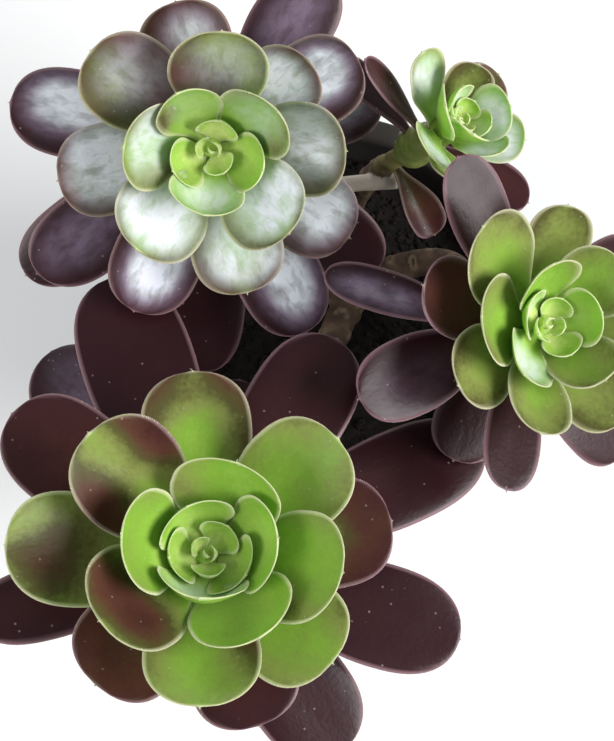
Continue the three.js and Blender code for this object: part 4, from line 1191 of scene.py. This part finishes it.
class LeafSettings(bpy.types.PropertyGroup):
    """Finish of the leaves and of the hairs on their margins."""

    seed: bpy.props.IntProperty(
        name="Seed", description="Which way each leaf waves and drifts in colour", default=11)
    hair_spacing: bpy.props.FloatProperty(
        name="Hair spacing", description="Distance from one margin hair to the next",
        default=0.75 * MM, precision=5, unit="LENGTH")
    hair_length: bpy.props.FloatProperty(
        name="Hair length", description="Length of a full-grown margin hair",
        default=0.85 * MM, precision=5, unit="LENGTH")
    hair_radius: bpy.props.FloatProperty(
        name="Hair radius", description="Radius of a hair at its root, thicker than real to show",
        default=0.14 * MM, precision=5, unit="LENGTH")
    straggle: bpy.props.FloatProperty(
        name="Straggle", description="How far the hairs lean off the margin's plane",
        default=0.45, subtype="FACTOR", min=0, max=1)
    wrinkle_depth: bpy.props.FloatProperty(
        name="Wrinkle depth", description="Depth of the skin's lengthwise wrinkles",
        default=0.4 * MM, precision=5, unit="LENGTH")


class SoilSettings(bpy.types.PropertyGroup):
    """Crumbs on the soil."""

    density: bpy.props.FloatProperty(
        name="Crumb density", description="Crumbs on each square metre", default=150000)
    radius: bpy.props.FloatProperty(
        name="Crumb radius", description="Radius of a middling crumb",
        default=1.6 * MM, precision=5, unit="LENGTH")
    seed: bpy.props.IntProperty(name="Seed", description="Where the crumbs lie", default=5)


class StageSettings(bpy.types.PropertyGroup):
    """Floor, lights and camera."""

    floor: bpy.props.FloatVectorProperty(
        name="Floor", description="Colour of the floor", subtype="COLOR", size=3,
        default=linear("F4F4F2", alpha=False))
    left_window: bpy.props.FloatProperty(
        name="Left window", description="Power of the soft light at the front left",
        default=13.0, unit="POWER")
    right_window: bpy.props.FloatProperty(
        name="Right window", description="Power of the soft light at the right",
        default=28.0, unit="POWER")
    back_window: bpy.props.FloatProperty(
        name="Back window", description="Power of the soft light behind the plant",
        default=6.0, unit="POWER")
    camera_distance: bpy.props.FloatProperty(
        name="Camera distance", description="From the camera to the point it looks at",
        default=560 * MM, unit="LENGTH")
    elevation: bpy.props.FloatProperty(
        name="Camera elevation", description="Angle of the view above the horizon",
        default=math.radians(75), subtype="ANGLE")


# ---- Operators --------------------------------------------------------------------------------


ROSETTE_SEEDS, OLD_LEAF_SEED = 10, 90  # added to the seed that the user chooses


class AEONIUM_OT_rosettes(bpy.types.Operator):
    """Grow the leaves of the four rosettes, and the hairs on their margins"""

    bl_idname = "aeonium.rosettes"
    bl_label = "Rosettes"

    def execute(self, context):
        chosen = context.scene.aeonium_leaves
        tree, identifiers = hair_tree()
        depth = chosen.wrinkle_depth
        skins = {"green": leaf_material("waxy_green_skin", depth, glow=0.25, shine=0.15),
                 "purple": leaf_material("waxy_purple_skin", depth, glow=0.05, shine=0.26)}
        hairs = {"green": hair_material("pale_green_margin_hair", "CBD69C"),
                 "purple": hair_material("mauve_margin_hair", "B79AA0")}
        for number, (name, plan) in enumerate(ROSETTES.items()):
            leaves = [n for n in range(plan["count"]) if n not in plan["fallen"]]
            groups = {"green": [n for n in leaves if n < plan["first_purple"]],
                      "purple": [n for n in leaves if n >= plan["first_purple"]]}
            for colour, members in groups.items():
                node, slot = f"rosette_{name}_{colour}", f"{colour}_leaf"
                rng = np.random.default_rng(chosen.seed + ROSETTE_SEEDS * number + len(colour))
                mesh, margins = leaves_mesh(f"{node}_leaves", plan, members, rng,
                                            with_core=colour == "purple")
                add_piece(f"{node}_leaves", mesh, skins[colour], [node])
                fringe = grown_mesh(f"{node}_hairs", margin_mesh(margins), tree, identifiers, {
                    "Spacing": chosen.hair_spacing, "Hair length": chosen.hair_length,
                    "Hair radius": chosen.hair_radius, "Straggle": chosen.straggle,
                    "Seed": chosen.seed + number, "Material": hairs[colour]})
                add_piece(f"{node}_hairs", fringe, None)
        return {"FINISHED"}


class AEONIUM_OT_hanging_leaf(bpy.types.Operator):
    """Hang the old leaf under the small rosette"""

    bl_idname = "aeonium.hanging_leaf"
    bl_label = "Hanging leaf"

    def execute(self, context):
        rng = np.random.default_rng(context.scene.aeonium_leaves.seed + OLD_LEAF_SEED)
        mesh, _ = leaves_mesh("old_leaf", HANGING_LEAF, [0], rng)
        skin = bpy.data.materials["waxy_purple_skin"]
        add_piece("old_leaf", mesh, skin, ["hanging_leaf"])
        return {"FINISHED"}


class AEONIUM_OT_stem(bpy.types.Operator):
    """Make the branching stem with its leaf scars"""

    bl_idname = "aeonium.stem"
    bl_label = "Stem"

    def execute(self, context):
        add_piece("woody_stem", stem_mesh(), bark_material(), ["stem"])
        return {"FINISHED"}


class AEONIUM_OT_soil(bpy.types.Operator):
    """Fill the pot with soil and strew crumbs on it"""

    bl_idname = "aeonium.soil"
    bl_label = "Soil"

    def execute(self, context):
        chosen = context.scene.aeonium_soil
        material = soil_material()
        mesh = soil_mesh()
        tree, identifiers = crumb_tree()
        crumbs = grown_mesh("soil_crumbs", mesh.copy(), tree, identifiers, {
            "Density": chosen.density, "Crumb radius": chosen.radius,
            "Smallest": SMALLEST_CRUMB, "Largest": LARGEST_CRUMB, "Seed": chosen.seed,
            "Material": material})
        add_piece("potting_soil", mesh, material, ["soil"])
        add_piece("soil_crumbs", crumbs, None)
        return {"FINISHED"}


class AEONIUM_OT_pot(bpy.types.Operator):
    """Turn the clay pot"""

    bl_idname = "aeonium.pot"
    bl_label = "Pot"

    def execute(self, context):
        add_piece("clay_pot", pot_mesh(), clay_material(), ["pot"])
        return {"FINISHED"}


# ---- Stage ------------------------------------------------------------------------------------

FLOOR_REACH = 3.0  # metres to each side
SKY = ("F2F6FF", 0.36)
LENS, SENSOR_WIDTH = 80, 36
NEAREST_SEEN = 0.01
LOOKED_AT = Vector((-8, -50, 215)) * MM
SIDE_WINDOW, BACK_WINDOW = (0.9, 0.8), (1.2, 0.6)  # metres
WINDOWS = {  # places in metres, and sizes
    "left_window": ((-1.1, -0.7, 0.95), SIDE_WINDOW),
    "right_window": ((1.15, -0.35, 0.95), SIDE_WINDOW),
    "back_window": ((-0.2, 1.5, 0.6), BACK_WINDOW),
}


def lay_floor(scene, colour):
    mesh = bpy.data.meshes.new("floor")
    corners = [(x * FLOOR_REACH, y * FLOOR_REACH, 0)
               for x, y in ((-1, -1), (1, -1), (1, 1), (-1, 1))]
    mesh.from_pydata(corners, [], [(0, 1, 2, 3)])
    floor = bpy.data.objects.new("floor", mesh)
    scene.collection.objects.link(floor)
    material, tree = new_material("plain_pale_floor")
    paper = add_node(tree, "ShaderNodeBsdfPrincipled", {
        "Base Color": (*colour, 1.0), "Roughness": 0.9})
    add_node(tree, "ShaderNodeOutputMaterial", {"Surface": paper.outputs[0]})
    mesh.materials.append(material)


def light_sky(scene):
    world = bpy.data.worlds.new("studio")
    world.use_nodes = True
    world.node_tree.nodes.clear()
    sky = add_node(world.node_tree, "ShaderNodeBackground", {
        "Color": linear(SKY[0]), "Strength": SKY[1]})
    add_node(world.node_tree, "ShaderNodeOutputWorld", {"Surface": sky.outputs[0]})
    scene.world = world


def hang_window(scene, name, power):
    """A soft rectangular light that looks at the plant."""
    place, size = Vector(WINDOWS[name][0]), WINDOWS[name][1]
    lamp = bpy.data.lights.new(name, "AREA")
    lamp.shape = "RECTANGLE"
    lamp.size, lamp.size_y = size
    lamp.energy = power
    light = bpy.data.objects.new(name, lamp)
    light.location = place
    light.rotation_euler = (LOOKED_AT - place).to_track_quat("-Z", "Y").to_euler()
    scene.collection.objects.link(light)


def set_camera(scene, distance, elevation):
    camera = bpy.data.cameras.new("camera")
    camera.lens = LENS
    camera.sensor_width = SENSOR_WIDTH
    camera.clip_start = NEAREST_SEEN
    eye = bpy.data.objects.new("camera", camera)
    back = Vector((0, -math.cos(elevation), math.sin(elevation)))
    eye.location = LOOKED_AT + back * distance
    eye.rotation_euler = (-back).to_track_quat("-Z", "Y").to_euler()
    scene.collection.objects.link(eye)
    scene.camera = eye


class AEONIUM_OT_stage(bpy.types.Operator):
    """Lay the floor, hang the lights and set the camera"""

    bl_idname = "aeonium.stage"
    bl_label = "Stage"

    def execute(self, context):
        chosen = context.scene.aeonium_stage
        scene = context.scene
        scene.view_settings.view_transform = "Standard"
        lay_floor(scene, chosen.floor)
        light_sky(scene)
        for name in WINDOWS:
            hang_window(scene, name, getattr(chosen, name))
        set_camera(scene, chosen.camera_distance, chosen.elevation)
        return {"FINISHED"}


# ---- Panel and registering --------------------------------------------------------------------

OPERATORS = (AEONIUM_OT_pot, AEONIUM_OT_soil, AEONIUM_OT_stem, AEONIUM_OT_rosettes,
             AEONIUM_OT_hanging_leaf, AEONIUM_OT_stage)


class AEONIUM_PT_panel(bpy.types.Panel):
    """The aeonium's settings and the pieces to make"""

    bl_idname = "AEONIUM_PT_panel"
    bl_label = "Potted Aeonium"
    bl_space_type = "VIEW_3D"
    bl_region_type = "UI"
    bl_category = "Aeonium"

    def draw(self, context):
        for settings in (context.scene.aeonium_leaves, context.scene.aeonium_soil,
                         context.scene.aeonium_stage):
            box = self.layout.box()
            for key in settings.__annotations__:
                box.prop(settings, key)
        for operator in OPERATORS:
            self.layout.operator(operator.bl_idname)


SETTINGS = {"aeonium_leaves": LeafSettings, "aeonium_soil": SoilSettings,
            "aeonium_stage": StageSettings}


def register():
    for cls in (*SETTINGS.values(), *OPERATORS, AEONIUM_PT_panel):
        bpy.utils.register_class(cls)
    for name, cls in SETTINGS.items():
        setattr(bpy.types.Scene, name, bpy.props.PointerProperty(type=cls))


def unregister():
    for name in SETTINGS:
        delattr(bpy.types.Scene, name)
    for cls in (AEONIUM_PT_panel, *reversed(OPERATORS), *reversed(SETTINGS.values())):
        bpy.utils.unregister_class(cls)


def main():
    register()
    for operator in OPERATORS:
        group, name = operator.bl_idname.split(".")
        getattr(getattr(bpy.ops, group), name)()


if __name__ == "__main__":
    main()
